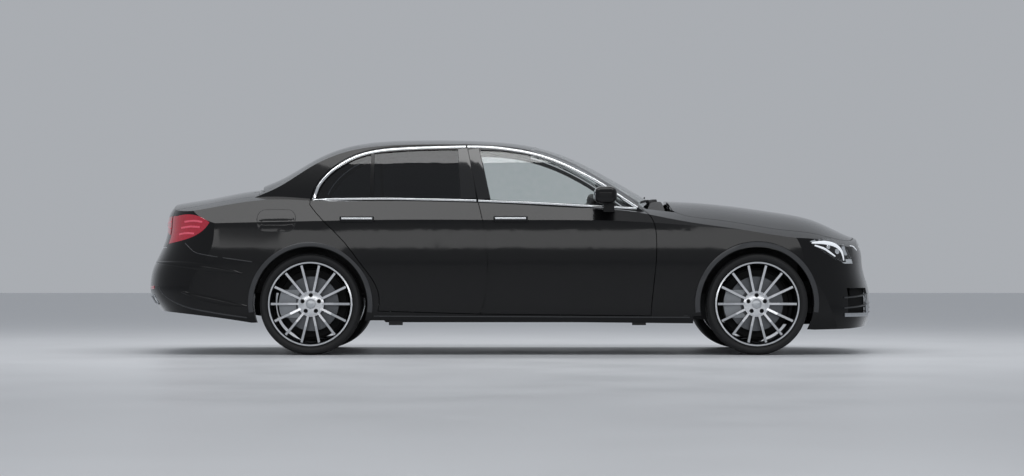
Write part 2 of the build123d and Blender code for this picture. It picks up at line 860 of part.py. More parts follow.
def build_doors():
    """Doors with a thin outer flange round a deeper core, and the panes in them."""
    outlines = {
        "front": (front_door_outline(), [front_window_outline()]),
        "rear": (rear_door_outline(), [rear_window_outline(), quarter_window_outline()]),
    }
    inside = moved(plain, y=DOOR_FLANGE)
    sheet = swept(cabin_face.moved(Location((0, PANE_DEPTH, 0))), y=GLASS)
    for name, (outline, windows) in outlines.items():
        panel = side_wall & side_prism(outline)
        panel = panel - (inside - side_prism(grown(outline, -DOOR_REBATE[name])))
        for window in windows:
            panel = panel - side_prism(window)
        for z in DOOR_HINGE_Z:
            panel = panel - hinge(DOOR_HINGE_X[name], z)[1]
        pair(name + "_door", one(panel))
        panes = [one(sheet & side_prism(grown(window, -SEAT))) for window in windows]
        pair(name + "_window", Compound(panes))


def build_body_sides():
    """Pillars, roof rail, sill and rear quarter as one frame on each side."""
    side = side_wall & block(-FAR, FIREWALL - SEAT, -OUT, -TAIL_PANEL_HALF, 0, FAR)
    skin_step = SKIN + SEAT
    side = side - (side_prism(fender_outline()) - moved(front_zone, y=skin_step, z=-skin_step))
    side = side - (side_prism(rear_bumper_outline()) - moved(rear_zone, x=skin_step, y=skin_step))
    for outline in (front_door_outline(), rear_door_outline()):
        side = side - side_prism(grown(outline, SHUT_GAP))
    for outline in (screen_outline(), grown(roof_outline(), SEAT), rear_screen_outline()):
        side = side - top_prism(outline, 950, 2000)
    side = side - top_prism(lid_outline(SHUT_GAP), LID_BOTTOM - SHUT_GAP, 2000)
    side = side - block(WINDOW_REAR_BASE - 60, WINDOW_REAR_BASE + 40, -600, 0, 1000, 2000)
    lamp_step = LAMP_DEPTH + SEAT
    side = side - (side_prism(tail_lamp_outline()) - moved(rear_zone, x=lamp_step, y=lamp_step))
    side = side - block(SCREEN_BASE - 130, FIREWALL + 10, -COWL_HALF_WIDTH - SEAT, 0, 880, FAR)
    sill = outer & block(FIREWALL - 2, FRONT_AXLE - 420, -OUT, -740, 0, SILL_HEIGHT + 36 - SEAT)
    pillar = side_prism(pillar_outline(), y1=-PILLAR_LIMIT) & moved(plain, y=PILLAR_DEPTH)
    pillar = pillar - moved(cavity, y=PILLAR_INSIDE)
    side = one(one(side) + sill + pillar)
    for x in DOOR_HINGE_X.values():
        for z in DOOR_HINGE_Z:
            side = side + hinge(x, z)[0]
    pair("body_side", one(side))


def build_fenders():
    shell = outer & side_prism(fender_outline()) & block(DOOR_FRONT - 100, NOSE, -OUT, -300, 0, FAR)
    shell = shell - moved(front_zone, y=SKIN, z=-SKIN)
    shell = shell - side_prism(grown(front_door_outline(), SHUT_GAP))
    shell = shell - top_prism(grown(hood_outline(), SHUT_GAP), 0, 2000)
    shell = shell - side_prism(grown(front_bumper_outline(), SEAT))
    shell = shell - side_prism(grown(headlamp_outline(), SEAT))
    shell = shell - block(DOOR_FRONT - 100, HOOD_REAR + 30, -COWL_HALF_WIDTH - SEAT, 0, 0, FAR)
    pair("fender", one(shell))


def grille_outline(gap):
    half, low, high = GRILLE_HALF_WIDTH + gap, GRILLE_BOTTOM - gap, GRILLE_TOP + gap
    waist = GRILLE_BOTTOM + 120
    right = [(-half + 70, low), (-half, waist), (-half + 40, high)]
    corners = right + [(-y, z) for y, z in reversed(right)]
    return polygon(corners)


def build_bumpers():
    front = (outer & side_prism(front_bumper_outline())) - moved(front_zone, x=-SKIN, y=SKIN)
    front = front - side_prism(grown(headlamp_outline(), SEAT))
    front = front - top_prism(grown(hood_outline(), SHUT_GAP), 600, 2000)
    front = front - front_prism(grille_outline(SEAT), 0, FAR)
    front = front - block(0, FAR, -380, 0, 236, 400)
    front = front - block(0, FAR, -770, -500, 262, 440)
    parts["front_bumper"] = whole(one(front))
    rear = (outer & side_prism(rear_bumper_outline())) - moved(rear_zone, x=SKIN, y=SKIN)
    parts["rear_bumper"] = whole(one(rear))


def build_grille():
    """A surround and five bars that follow the nose's curve."""
    sheet = swept(nose_face.moved(Location((-6, 0, 0))), x=-26)
    field = front_prism(grille_outline(0), 0, FAR)
    rim = sheet & (field - front_prism(grille_outline(-24), 0, FAR))
    slat_sheet = swept(nose_face.moved(Location((-12, 0, 0))), x=-20)
    bars = [
        block(0, FAR, -OUT, OUT, z - 9, z + 9) & slat_sheet & field
        for z in span(GRILLE_BOTTOM + 45, GRILLE_TOP - 45, 4)
    ]
    for bar in bars:
        rim = rim + bar
    parts["grille"] = one(rim)


def build_lamps():
    head = (outer & side_prism(headlamp_outline())) - moved(front_zone, x=-LAMP_DEPTH, y=LAMP_DEPTH)
    head = head - top_prism(grown(hood_outline(), SHUT_GAP), 600, 2000)
    parts["headlamps"] = both(one(head))
    rear = outer & side_prism(grown(tail_lamp_outline(), -SEAT))
    rear = rear - moved(rear_zone, x=LAMP_DEPTH, y=LAMP_DEPTH)
    rear = rear - top_prism(lid_outline(SHUT_GAP), 600, 2000)
    parts["tail_lamps"] = both(one(rear))


def build_centre_panels():
    hood = one(swept(deck_face, z=-PANEL) & top_prism(hood_outline(), 0, 2000))
    pin = Pos(HOOD_HINGE_X, -HOOD_HINGE_Y, HOOD_HINGE_Z) * Rot(90, 0, 0)
    tab = Pos(HOOD_HINGE_X, -HOOD_HINGE_Y, HOOD_HINGE_Z + 4) * Box(22, 20, 30)
    tab = tab - pin * Cylinder(PIN_RADIUS + SEAT, 60)
    parts["hood"] = one(hood + tab + left(tab))
    parts["roof_panel"] = one(swept(roof_face, z=-ROOF_THICKNESS) & top_prism(roof_outline(), 0, 2000))
    glass = swept(roof_face, z=-GLASS)
    parts["windscreen"] = one(glass & top_prism(grown(screen_outline(), -SEAT), 0, 2000))
    parts["rear_window"] = one(glass & top_prism(grown(rear_screen_outline(), -SEAT), 0, 2000))
    lid = (lower_skin - moved(lower_skin, x=PANEL, z=-PANEL)) & top_prism(lid_outline(0), LID_BOTTOM, 2000)
    notch = block(LID_HINGE_X - 13, LID_FRONT + 60, -LID_HINGE_Y - 8, -LID_HINGE_Y + 8, 900, 1200)
    socket = Pos(LID_HINGE_X, -LID_HINGE_Y, LID_HINGE_Z) * Rot(90, 0, 0) * Cylinder(PIN_RADIUS + SEAT, 48)
    lid = one(lid) - notch - left(notch) - socket - left(socket)
    parts["boot_lid"] = one(lid)
    inner, step = SKIN + 8, 50.0
    panel = moved(lower_skin, x=inner) - moved(lower_skin, x=step)
    half = TAIL_PANEL_HALF - SEAT
    panel = panel & block(TAIL, 0, -half, half, BOOT_FLOOR_HEIGHT - 120, LID_BOTTOM - SHUT_GAP)
    parts["tail_panel"] = one(panel)
    cowl = swept(deck_face.moved(Location((0, 0, -4))), z=-PANEL)
    cowl = cowl & block(SCREEN_BASE - 120, HOOD_REAR - 34, -COWL_HALF_WIDTH, COWL_HALF_WIDTH, 0, FAR)
    cowl = cowl - swept(roof_face.moved(Location((0, 0, SEAT))), z=-600)
    foot, x, z = FIREWALL + 5, HOOD_HINGE_X, HOOD_HINGE_Z
    arm = polygon(
        [
            (foot, z + 14),
            (foot + 22, z + 14),
            (foot + 22, z - 60),
            (x - HOOD_CHEEK, z - 60),
            (x - HOOD_CHEEK, z + 6),
            (x + HOOD_CHEEK, z + 6),
            (x + HOOD_CHEEK, z - 85),
            (foot, z - 85),
        ]
    )
    arm = side_prism(arm, -HOOD_HINGE_Y - 21, -HOOD_HINGE_Y - 11)
    arm = arm + Pos(x, -HOOD_HINGE_Y - 1, z) * Rot(90, 0, 0) * Cylinder(PIN_RADIUS, 30)
    parts["cowl"] = one(one(cowl) + arm + left(arm))


def build_floor():
    """Firewall, foot well, floor, heel board and boot floor in one pressing, with a tunnel."""
    heel = DOOR_SPLIT - 640
    upper = [
        (FIREWALL - FLOOR_PLATE, DECK_HEIGHT - 80),
        (FIREWALL - FLOOR_PLATE, 400),
        (FIREWALL - 150, FLOOR_HEIGHT),
        (heel, FLOOR_HEIGHT),
        (heel - 150, BOOT_FLOOR_HEIGHT),
        (TAIL - 100, BOOT_FLOOR_HEIGHT),
    ]
    lower = [
        (FIREWALL, DECK_HEIGHT - 80),
        (FIREWALL, 400 - FLOOR_PLATE / 2),
        (FIREWALL - 150 + FLOOR_PLATE / 2, FLOOR_HEIGHT - FLOOR_PLATE),
        (heel - FLOOR_PLATE, FLOOR_HEIGHT - FLOOR_PLATE),
        (heel - 150 - FLOOR_PLATE, BOOT_FLOOR_HEIGHT - FLOOR_PLATE),
        (TAIL - 100, BOOT_FLOOR_HEIGHT - FLOOR_PLATE),
    ]
    tunnel = block(heel + TUNNEL_REAR, FIREWALL - 10, -TUNNEL_HALF_WIDTH, 0, FLOOR_HEIGHT - 10, FLOOR_HEIGHT + 120)
    floor = (side_prism(polygon(upper + lower[::-1])) + tunnel) & moved(room, x=SEAT, y=FLOOR_MARGIN)
    wheelhouse = LINER_RADIUS + LINER_WALL + SEAT
    floor = floor - wheel_cylinder(REAR_AXLE, wheelhouse, -OUT, -WHEELHOUSE_INSIDE + SEAT)
    parts["floor_pan"] = whole(one(floor))
    rail = block(FIREWALL + SEAT, NOSE - 190, -RAIL_OUTSIDE, -RAIL_OUTSIDE + 80, RAIL_BOTTOM, RAIL_TOP)
    beam = block(NOSE - 190, NOSE - 150, -560, 0, RAIL_BOTTOM - 20, RAIL_TOP + 20)
    parts["front_frame"] = whole(rail + beam)


def build_cabin():
    sole = FLOOR_HEIGHT + SEAT
    rear_x = DOOR_SPLIT - 640
    seat = loop(
        [(DOOR_SPLIT + 40, sole), (DOOR_SPLIT + 520, sole)],
        [(DOOR_SPLIT + 520, sole), (DOOR_SPLIT + 560, 480), (DOOR_SPLIT + 480, 545)],
        [(DOOR_SPLIT + 480, 545), (DOOR_SPLIT + 150, 500)],
        [(DOOR_SPLIT + 150, 500), (DOOR_SPLIT + 30, 820), (DOOR_SPLIT - 60, 1190)],
        [(DOOR_SPLIT - 60, 1190), (DOOR_SPLIT - 160, 1170)],
        [(DOOR_SPLIT - 160, 1170), (DOOR_SPLIT - 60, 700), (DOOR_SPLIT + 40, sole)],
    )
    beside = -TUNNEL_HALF_WIDTH - 20
    parts["front_seats"] = both(side_prism(seat, beside - SEAT_WIDTH, beside))
    bench = loop(
        [(rear_x + 1, sole), (rear_x + 120, sole)],
        [(rear_x + 120, sole), (rear_x + 150, 470), (rear_x + 60, 545)],
        [(rear_x + 60, 545), (rear_x - 260, 510)],
        [(rear_x - 260, 510), (rear_x - 340, 720), (rear_x - 450, 985)],
        [(rear_x - 450, 985), (rear_x - 540, 965)],
        [(rear_x - 540, 965), (rear_x - 400, BOOT_FLOOR_HEIGHT + SEAT)],
        [(rear_x - 400, BOOT_FLOOR_HEIGHT + SEAT), (rear_x - 149, BOOT_FLOOR_HEIGHT + SEAT)],
        [(rear_x - 149, BOOT_FLOOR_HEIGHT + SEAT), (rear_x + 1, sole)],
    )
    parts["rear_seat"] = side_prism(bench, -WHEELHOUSE_INSIDE + 20, WHEELHOUSE_INSIDE - 20)
    dash = loop(
        [(FIREWALL - FLOOR_PLATE - SEAT, 640), (FIREWALL - FLOOR_PLATE - SEAT, 925)],
        [(FIREWALL - FLOOR_PLATE - SEAT, 925), (FIREWALL - 230, 965), (FIREWALL - 400, 915)],
        [(FIREWALL - 400, 915), (FIREWALL - 420, 780), (FIREWALL - 330, 640)],
        [(FIREWALL - 330, 640), (FIREWALL - FLOOR_PLATE - SEAT, 640)],
    )
    parts["dashboard"] = whole(one(side_prism(dash, -DASH_HALF_WIDTH) & room))
    shelf = block(WINDOW_REAR_BASE + 25, rear_x - 560, -OUT, 0, 960, 985) & room
    x, z = LID_HINGE_X, LID_HINGE_Z
    lug = polygon(
        [
            (WINDOW_REAR_BASE + 40, 960),
            (WINDOW_REAR_BASE + 40, 985),
            (x + 5, z - 36),
            (x + 5, z + 5),
            (x - 5, z + 5),
            (x - 5, z - 60),
        ]
    )
    lug = side_prism(lug, -LID_HINGE_Y - 6, -LID_HINGE_Y + 6)
    lug = lug + Pos(x, -LID_HINGE_Y, z) * Rot(90, 0, 0) * Cylinder(PIN_RADIUS, 44)
    parts["parcel_shelf"] = whole(one(one(shelf) + lug))


def build_wheel():
    """Tyre, rim with slim spokes, and disc with hub, round the Y axis, outer side to -Y."""
    half = TYRE_WIDTH / 2
    tread = TYRE_RADIUS
    bead = RIM_RADIUS - 12
    outer_wall = [
        (RIM_RADIUS + 6, -half + 12),
        (RIM_RADIUS + 32, -half),
        (tread - 12, -half + 14),
        (tread, -half + 38),
    ]
    tyre = loop(
        [(bead, -half + 26), (RIM_RADIUS + 6, -half + 12)],
        outer_wall,
        [(tread, -half + 38), (tread, half - 38)],
        [(r, -y) for r, y in reversed(outer_wall)],
        [(RIM_RADIUS + 6, half - 12), (bead, half - 26)],
        [(bead, half - 26), (bead, -half + 26)],
    )
    tyre = revolve(Face(wire(tyre)), axis=Axis.Y)
    barrel = polygon(
        [
            (bead - SEAT, -half + 25),
            (bead - SEAT, half - 25),
            (RIM_RADIUS - 1, half - 15),
            (RIM_RADIUS, half - 8),
            (RIM_RADIUS - 6, half - 7),
            (bead - 12, half - 20),
            (bead - 12, -half + 26),
            (RIM_RADIUS - 10, -half + 6),
            (RIM_RADIUS, -half + 8),
            (RIM_RADIUS - 1, -half + 15),
        ]
    )
    rim = revolve(Face(wire(barrel)), axis=Axis.Y)
    hub = loop(
        [(0, -HUB_FACE - 16), (40, -HUB_FACE - 18), (86, -HUB_FACE - 10)],
        [(86, -HUB_FACE - 10), (90, -HUB_FACE + 20)],
        [(90, -HUB_FACE + 20), (74, -HUB_FACE + 30)],
        [(74, -HUB_FACE + 30), (0, -HUB_FACE + 30)],
        [(0, -HUB_FACE + 30), (0, -HUB_FACE - 16)],
    )
    rim = rim + revolve(Face(wire(hub)), axis=Axis.Y)
    spoke_side = [
        (70, -HUB_FACE - 12),
        (150, -HUB_FACE - 26),
        (bead - 6, -half + 16),
        (bead - 6, -half + 58),
        (170, -HUB_FACE + 14),
        (70, -HUB_FACE + 24),
    ]
    face = Face(wire(polygon(spoke_side)))
    spoke = Pos(0, 0, -SPOKE_WIDTH / 2) * Solid.extrude(face, Vector(0, 0, SPOKE_WIDTH))
    for i in range(SPOKES):
        rim = rim + Rot(0, 360 * i / SPOKES, 0) * spoke
    for i in range(LUG_COUNT):
        angle = math.radians(90 + 360 * i / LUG_COUNT)
        hole = Pos(LUG_CIRCLE * math.cos(angle), -HUB_FACE - 20, LUG_CIRCLE * math.sin(angle))
        rim = rim - hole * Rot(90, 0, 0) * Cylinder(LUG_HOLE, 40)
    hat = -HUB_FACE + 30 + SEAT
    disc = loop(
        [(0, hat), (72, hat)],
        [(72, hat), (72, -DISC_PLANE - DISC_THICKNESS / 2)],
        [(72, -DISC_PLANE - DISC_THICKNESS / 2), (DISC_RADIUS, -DISC_PLANE - DISC_THICKNESS / 2)],
        [(DISC_RADIUS, -DISC_PLANE - DISC_THICKNESS / 2), (DISC_RADIUS, -DISC_PLANE + DISC_THICKNESS / 2)],
        [(DISC_RADIUS, -DISC_PLANE + DISC_THICKNESS / 2), (HUB_RADIUS, -DISC_PLANE + DISC_THICKNESS / 2)],
        [(HUB_RADIUS, -DISC_PLANE + DISC_THICKNESS / 2), (HUB_RADIUS, SPINDLE_END)],
        [(HUB_RADIUS, SPINDLE_END), (0, SPINDLE_END)],
        [(0, SPINDLE_END), (0, hat)],
    )
    disc = revolve(Face(wire(disc)), axis=Axis.Y)
    return one(tyre), one(rim), one(disc)


def caliper(turn):
    """A caliper over the disc's rim, on the side of the axle given by the turn."""
    reach = DISC_RADIUS + 34
    body = block(70, reach, -DISC_PLANE - 33, -DISC_PLANE + 46, -92, 92)
    slot = Pos(0, -DISC_PLANE, 0) * Rot(90, 0, 0) * Cylinder(DISC_RADIUS + 6, DISC_THICKNESS + 12)
    body = body & (Rot(90, 0, 0) * Cylinder(reach, 600)) - Rot(90, 0, 0) * Cylinder(104, 600)
    return Rot(0, turn, 0) * one(body - slot)


def build_running_gear():
    tyre, rim, disc = build_wheel()
    for name, axle in (("front", FRONT_AXLE), ("rear", REAR_AXLE)):
        place = Pos(axle, -HALF_TRACK, TYRE_RADIUS)
        pair(name + "_tyre", place * tyre)
        pair(name + "_rim", place * rim)
        pair(name + "_disc", place * disc)
        grip = place * caliper(180)
        inner = -DISC_PLANE + DISC_THICKNESS / 2 + 10
        end = SPINDLE_END + 6
        boss = Rot(90, 0, 0) * (Pos(0, 0, -(inner + end) / 2) * Cylinder(60, end - inner))
        boss = boss - Rot(90, 0, 0) * Cylinder(HUB_RADIUS + SEAT, 600)
        cap = Rot(90, 0, 0) * (Pos(0, 0, -SPINDLE_END - 9) * Cylinder(60, 12))
        bracket = block(-170, -40, inner + 2, inner + 26, -50, 50)
        bracket = bracket - Rot(90, 0, 0) * Cylinder(HUB_RADIUS + 6, 600)
        carrier = place * (boss + cap + bracket)
        if name == "front":
            kingpin = Pos(FRONT_AXLE, -KINGPIN_Y, TYRE_RADIUS)
            column = kingpin * (Cylinder(22, 2 * KINGPIN_REACH) - Rot(90, 0, 0) * Cylinder(50, 200))
            pair("front_knuckle", one(carrier + column + grip))
        else:
            pair("rear_carrier", one(carrier + grip))


def build_suspension():
    """Subframes with arms that end just short of the knuckles and wheel carriers."""
    low, high = TYRE_RADIUS - KINGPIN_REACH - SEAT, TYRE_RADIUS + KINGPIN_REACH + SEAT
    x, rail = FRONT_AXLE, -RAIL_OUTSIDE
    cross = block(x - 130, x + 130, rail + 10, 0, SUBFRAME_TOP - 34, SUBFRAME_TOP)
    arm = block(x - ARM_EYE, x + ARM_EYE, -KINGPIN_Y, rail + 40, low - 26, low)
    arm = arm + Pos(x, -KINGPIN_Y, low - 13) * Cylinder(ARM_EYE, 26)
    post = block(x - 50, x + 50, rail + 12, rail + 62, low - 26, RAIL_BOTTOM - SEAT)
    frame = whole(one(cross + arm + post))
    upper = block(x - ARM_EYE, x + ARM_EYE, -KINGPIN_Y, rail + 20, high, high + 22)
    upper = upper + Pos(x, -KINGPIN_Y, high + 11) * Cylinder(ARM_EYE, 22)
    foot = block(x - 40, x + 40, rail + 6, rail + 66, RAIL_TOP + SEAT, high + 22)
    parts["front_suspension"] = Compound([frame] + list(both(one(upper + foot)).solids()))
    ceiling = BOOT_FLOOR_HEIGHT - FLOOR_PLATE - SEAT
    carrier_face = -HALF_TRACK + SPINDLE_END + 15 + SEAT
    cross = block(REAR_AXLE - 110, REAR_AXLE + 110, -520, 0, 250, 300)
    arm = block(REAR_AXLE - 34, REAR_AXLE + 34, carrier_face, -500, 262, 296)
    upper = block(REAR_AXLE - 30, REAR_AXLE + 30, carrier_face, -500, 352, 380)
    post = block(REAR_AXLE - 70, REAR_AXLE + 70, -520, -460, 250, ceiling)
    drive = Pos(REAR_AXLE, 0, TYRE_RADIUS) * Sphere(DRIVE_RADIUS)
    shaft = Pos(REAR_AXLE, 0, TYRE_RADIUS) * Rot(90, 0, 0) * Cylinder(18, 2 * -carrier_face)
    parts["rear_suspension"] = one(whole(one(cross + arm + upper + post)) + drive + shaft)


def build_wheel_liners():
    """Four half-tube liners that close the wheel arches from inside."""
    y0, y1 = -HALF_WIDTH, -WHEELHOUSE_INSIDE
    tube = wheel_cylinder(REAR_AXLE, LINER_RADIUS + LINER_WALL, y0, y1)
    tube = tube - wheel_cylinder(REAR_AXLE, LINER_RADIUS, y0 - 10, y1 - LINER_WALL)
    cover = block(REAR_AXLE - 500, REAR_AXLE + 500, -OUT, 0, BOOT_FLOOR_HEIGHT + SEAT, 1000)
    back = one(tube & cover & room)
    radius = ARCH_RADIUS + 35
    y1 = -RAIL_OUTSIDE - 12
    tube = wheel_cylinder(FRONT_AXLE, radius + LINER_WALL, y0, y1)
    tube = tube - wheel_cylinder(FRONT_AXLE, radius, y0 - 10, y1 + 10)
    cover = block(FRONT_AXLE - 500, FRONT_AXLE + 500, -OUT, 0, SILL_HEIGHT + 90, 1000)
    step = SKIN + SEAT
    front = tube & cover & moved(front_zone, y=step, z=-step)
    front = one(front & moved(front_zone, x=-step - 2, y=step))
    parts["wheel_liners"] = Compound(list(both(front).solids()) + list(both(back).solids()))


def build_drive():
    """Engine as one plain block with a cover, and the exhaust below the floor."""
    base = SUBFRAME_TOP + SEAT
    engine = block(FRONT_AXLE - 380, FRONT_AXLE + 330, -270, 270, base, 700)
    cover = block(FRONT_AXLE - 350, FRONT_AXLE + 300, -230, 230, 690, 770)
    parts["engine"] = one(engine + cover)
    ceiling = BOOT_FLOOR_HEIGHT - FLOOR_PLATE - SEAT
    box = block(TAIL + 330, TAIL + 560, -430, 430, ceiling - 120, ceiling)
    tips = [Pos(TAIL + 260, y, ceiling - 80) * Rot(0, 90, 0) * Cylinder(34, 180) for y in (-360, 360)]
    parts["exhaust"] = one(box + tips[0] + tips[1])


def build_jack_pads():
    under = side_prism(grown(bottom_cut_outline(), -SEAT))
    y0, y1 = -HALF_WIDTH + 58, -HALF_WIDTH + 106
    pads = [
        block(x - 45, x + 45, y0, y1, JACK_PAD_BOTTOM, SILL_HEIGHT + 60) & under
        for x in (DOOR_FRONT - 110, REAR_AXLE + 560)
    ]
    parts["jack_pads"] = Compound([piece for pad in pads for piece in both(one(pad)).solids()])


def build_door_fittings():
    """Mirrors on the front doors and a pull handle on each door."""
    proud = moved(plain, y=-SEAT)
    head = fillet(Box(150, 205, 112).edges(), 44)
    stalk = block(-10, 62, 66, 190, -110, -40)
    mirror_piece = Pos(DOOR_FRONT - 335, -HALF_WIDTH - 10, 1052) * (head + stalk)
    pair("door_mirror", one(mirror_piece - proud))
    for name, x in (("front", DOOR_SPLIT + 160), ("rear", REAR_AXLE + 308)):
        bar = fillet(Box(HANDLE_LENGTH, 70, HANDLE_HEIGHT).edges(), 10)
        slot = Pos(0, 24, 0) * Box(HANDLE_LENGTH - 80, 70, HANDLE_HEIGHT + 20)
        handle = Pos(x, -HALF_WIDTH - 1, crease(x) + 8) * (bar - slot)
        pair(name + "_handle", one(handle - proud))


def build_steering_wheel():
    """A rim, a hub and three spokes on a column that ends at the dashboard."""
    ring = Torus(180, 15) + Cylinder(58, 40)
    for turn in (0, 180, 270):
        ring = ring + Rot(0, 0, turn) * Pos(115, 0, 0) * Box(140, 34, 14)
    column = Pos(0, 0, -90) * Cylinder(30, 180)
    wheel_piece = Pos(FIREWALL - 520, 370, 850) * Rot(0, -66, 0) * (ring + column)
    parts["steering_wheel"] = one(wheel_piece - moved(parts["dashboard"], x=-SEAT))


for step in (
    build_doors,
    build_body_sides,
    build_fenders,
    build_bumpers,
    build_grille,
    build_lamps,
    build_centre_panels,
    build_floor,
    build_cabin,
    build_running_gear,
    build_suspension,
    build_wheel_liners,
    build_drive,
    build_jack_pads,
    build_door_fittings,
    build_steering_wheel,
):
    step()

os.makedirs("parts", exist_ok=True)
for name, shape in parts.items():
    export_step(shape, f"parts/{name}.step")
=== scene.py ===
"""Black executive sedan: finishes, bright trim, lamps, wheels, seats and a plain studio."""

import math

import bmesh
import bpy
from mathutils import Matrix, Vector
from mathutils.bvhtree import BVHTree


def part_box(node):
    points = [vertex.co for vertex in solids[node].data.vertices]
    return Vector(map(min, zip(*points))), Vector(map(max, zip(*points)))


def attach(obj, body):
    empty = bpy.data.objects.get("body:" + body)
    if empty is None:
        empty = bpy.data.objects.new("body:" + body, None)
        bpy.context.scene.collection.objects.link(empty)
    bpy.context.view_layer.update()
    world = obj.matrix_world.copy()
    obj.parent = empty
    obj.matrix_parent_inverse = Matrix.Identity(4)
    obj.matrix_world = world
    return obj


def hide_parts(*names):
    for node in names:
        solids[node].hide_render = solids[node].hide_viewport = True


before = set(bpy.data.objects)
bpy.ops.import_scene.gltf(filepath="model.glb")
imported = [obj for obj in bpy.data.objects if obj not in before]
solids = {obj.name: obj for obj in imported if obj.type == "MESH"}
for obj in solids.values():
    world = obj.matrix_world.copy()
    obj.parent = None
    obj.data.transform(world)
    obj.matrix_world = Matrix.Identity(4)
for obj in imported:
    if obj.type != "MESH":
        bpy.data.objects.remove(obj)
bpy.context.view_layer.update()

# Sizes of the car that the trim follows, in metres
WHEEL_X = {"front": 1.6225, "rear": -1.3165}
WHEEL_Z = 0.336
HALF_TRACK = 0.795
SIDES = {"right": -1.0, "left": 1.0}
TAG = {"right": "r", "left": "l", "front": "f", "rear": "r"}
OUTWARD = {side: Vector((0, sign, 0)) for side, sign in SIDES.items()}
AHEAD = Vector((1, 0, 0))
UP = Vector((0, 0, 1))


def linear(code):
    """An sRGB hex colour as linear RGBA."""
    channels = [int(code[i:i + 2], 16) / 255 for i in (1, 3, 5)]
    return (*[c / 12.92 if c <= 0.04045 else ((c + 0.055) / 1.055) ** 2.4 for c in channels], 1.0)


def add(tree, kind, inputs=None, **settings):
    """One node with its settings, and its inputs set or linked."""
    made = tree.nodes.new(kind)
    for name, value in settings.items():
        setattr(made, name, value)
    for name, value in (inputs or {}).items():
        if isinstance(value, bpy.types.NodeSocket):
            tree.links.new(value, made.inputs[name])
        else:
            made.inputs[name].default_value = value
    return made


# Share of the noise at which the darker and the lighter tone are pure
GRAIN_CONTRAST = (0.3, 0.7)


def finish(name, colours, roughness, grain, bump=0.0, metallic=0.0, sockets=None):
    """A material whose colour, gloss and relief vary with a grain; grain and bump are in mm."""
    made = bpy.data.materials.new(name)
    made.use_nodes = True
    tree = made.node_tree
    shader = tree.nodes["Principled BSDF"]
    place = add(tree, "ShaderNodeTexCoord")
    speck = add(
        tree, "ShaderNodeTexNoise",
        {"Vector": place.outputs["Object"], "Scale": 1000.0 / grain, "Detail": 3.0},
    )
    low, high = GRAIN_CONTRAST
    ramp = add(tree, "ShaderNodeValToRGB", {"Fac": speck.outputs["Fac"]})
    for stop, position, colour in zip(ramp.color_ramp.elements, GRAIN_CONTRAST, colours):
        stop.position = position
        stop.color = linear(colour)
    gloss = add(
        tree, "ShaderNodeMapRange",
        {"Value": speck.outputs["Fac"], "From Min": low, "From Max": high,
         "To Min": roughness[0], "To Max": roughness[1]},
    )
    tree.links.new(ramp.outputs["Color"], shader.inputs["Base Color"])
    tree.links.new(gloss.outputs["Result"], shader.inputs["Roughness"])
    if bump:
        relief = add(
            tree, "ShaderNodeBump",
            {"Height": speck.outputs["Fac"], "Strength": 0.6, "Distance": bump / 1000.0},
        )
        tree.links.new(relief.outputs["Normal"], shader.inputs["Normal"])
    shader.inputs["Metallic"].default_value = metallic
    for socket, value in (sockets or {}).items():
        shader.inputs[socket].default_value = value
    return made


# Grains too fine to show in the render are drawn about a millimetre wide.
# Solid black body enamel under clear lacquer: deep, with soft clear reflections
paint = finish(
    "black_lacquered_enamel", ("#060607", "#0a0a0c"), (0.30, 0.36), 1.2,
    sockets={"Specular IOR Level": 0.1, "Coat Weight": 1.0, "Coat Roughness": 0.07, "Coat IOR": 1.3},
)
# Painted highlight on arch flanges, bumper seams, slats and sill line: a satin grey paler than the sides,
# painted in for the light that these black edges catch
painted_sheen = finish("painted_sheen_grey", ("#3a3b3d", "#444547"), (0.34, 0.42), 1.0, metallic=0.3)
# Moulded gloss black acrylic of pillar covers, grille, lamp beds and displays: sharp reflections
acrylic = finish(
    "black_acrylic", ("#070708", "#0b0b0c"), (0.06, 0.10), 3.0, sockets={"Coat Weight": 0.3},
)
# Grained black polypropylene of cowl, liners and lower trim: matt with a fine moulded grain
polypropylene = finish("grained_polypropylene", ("#101011", "#1b1b1d"), (0.55, 0.72), 1.6, 0.25)
# Polished chrome plate on the window surround and handles: bright and barely hazy
chrome = finish("chrome_plate", ("#d9dbdd", "#eceeef"), (0.05, 0.09), 6.0, metallic=1.0)
# Satin silver lacquer of inserts, grille strips, exhaust trims, wheel caps and vents: a soft bright sheen
satin_silver = finish("satin_silver_lacquer", ("#a9acb0", "#c0c3c6"), (0.24, 0.32), 0.8, metallic=1.0)
# Black enamel fired on the glass along its edge: flat, deep and glossy
glass_enamel = finish("fired_black_enamel", ("#050506", "#0a0a0b"), (0.10, 0.16), 2.0)
# Steel of the wheel bolts, near black as painted shade of the hub's bolt holes, with a dull sheen
bolt_steel = finish("bolt_painted_shade", ("#131315", "#202123"), (0.38, 0.52), 1.2, metallic=0.8)
CLEAR = {"Transmission Weight": 1.0, "IOR": 1.45}
# Clear laminated glass: see-through with a trace of green
laminated = finish(
    "laminated_glass", ("#f3f8f6", "#f7faf9"), (0.0, 0.01), 40.0, sockets=CLEAR,
)
# Privacy glass of the rear doors and rear window: dark, with the cabin just showing
privacy = finish(
    "privacy_glass", ("#3b3f43", "#42464a"), (0.0, 0.01), 40.0, sockets=CLEAR,
)
# Clear polycarbonate lamp cover, hard coated: bright clean highlights
polycarbonate = finish(
    "lamp_polycarbonate", ("#eef2f5", "#f4f7f9"), (0.0, 0.01), 40.0,
    sockets={"Transmission Weight": 1.0, "IOR": 1.12, "Coat Weight": 1.0, "Coat Roughness": 0.01},
)
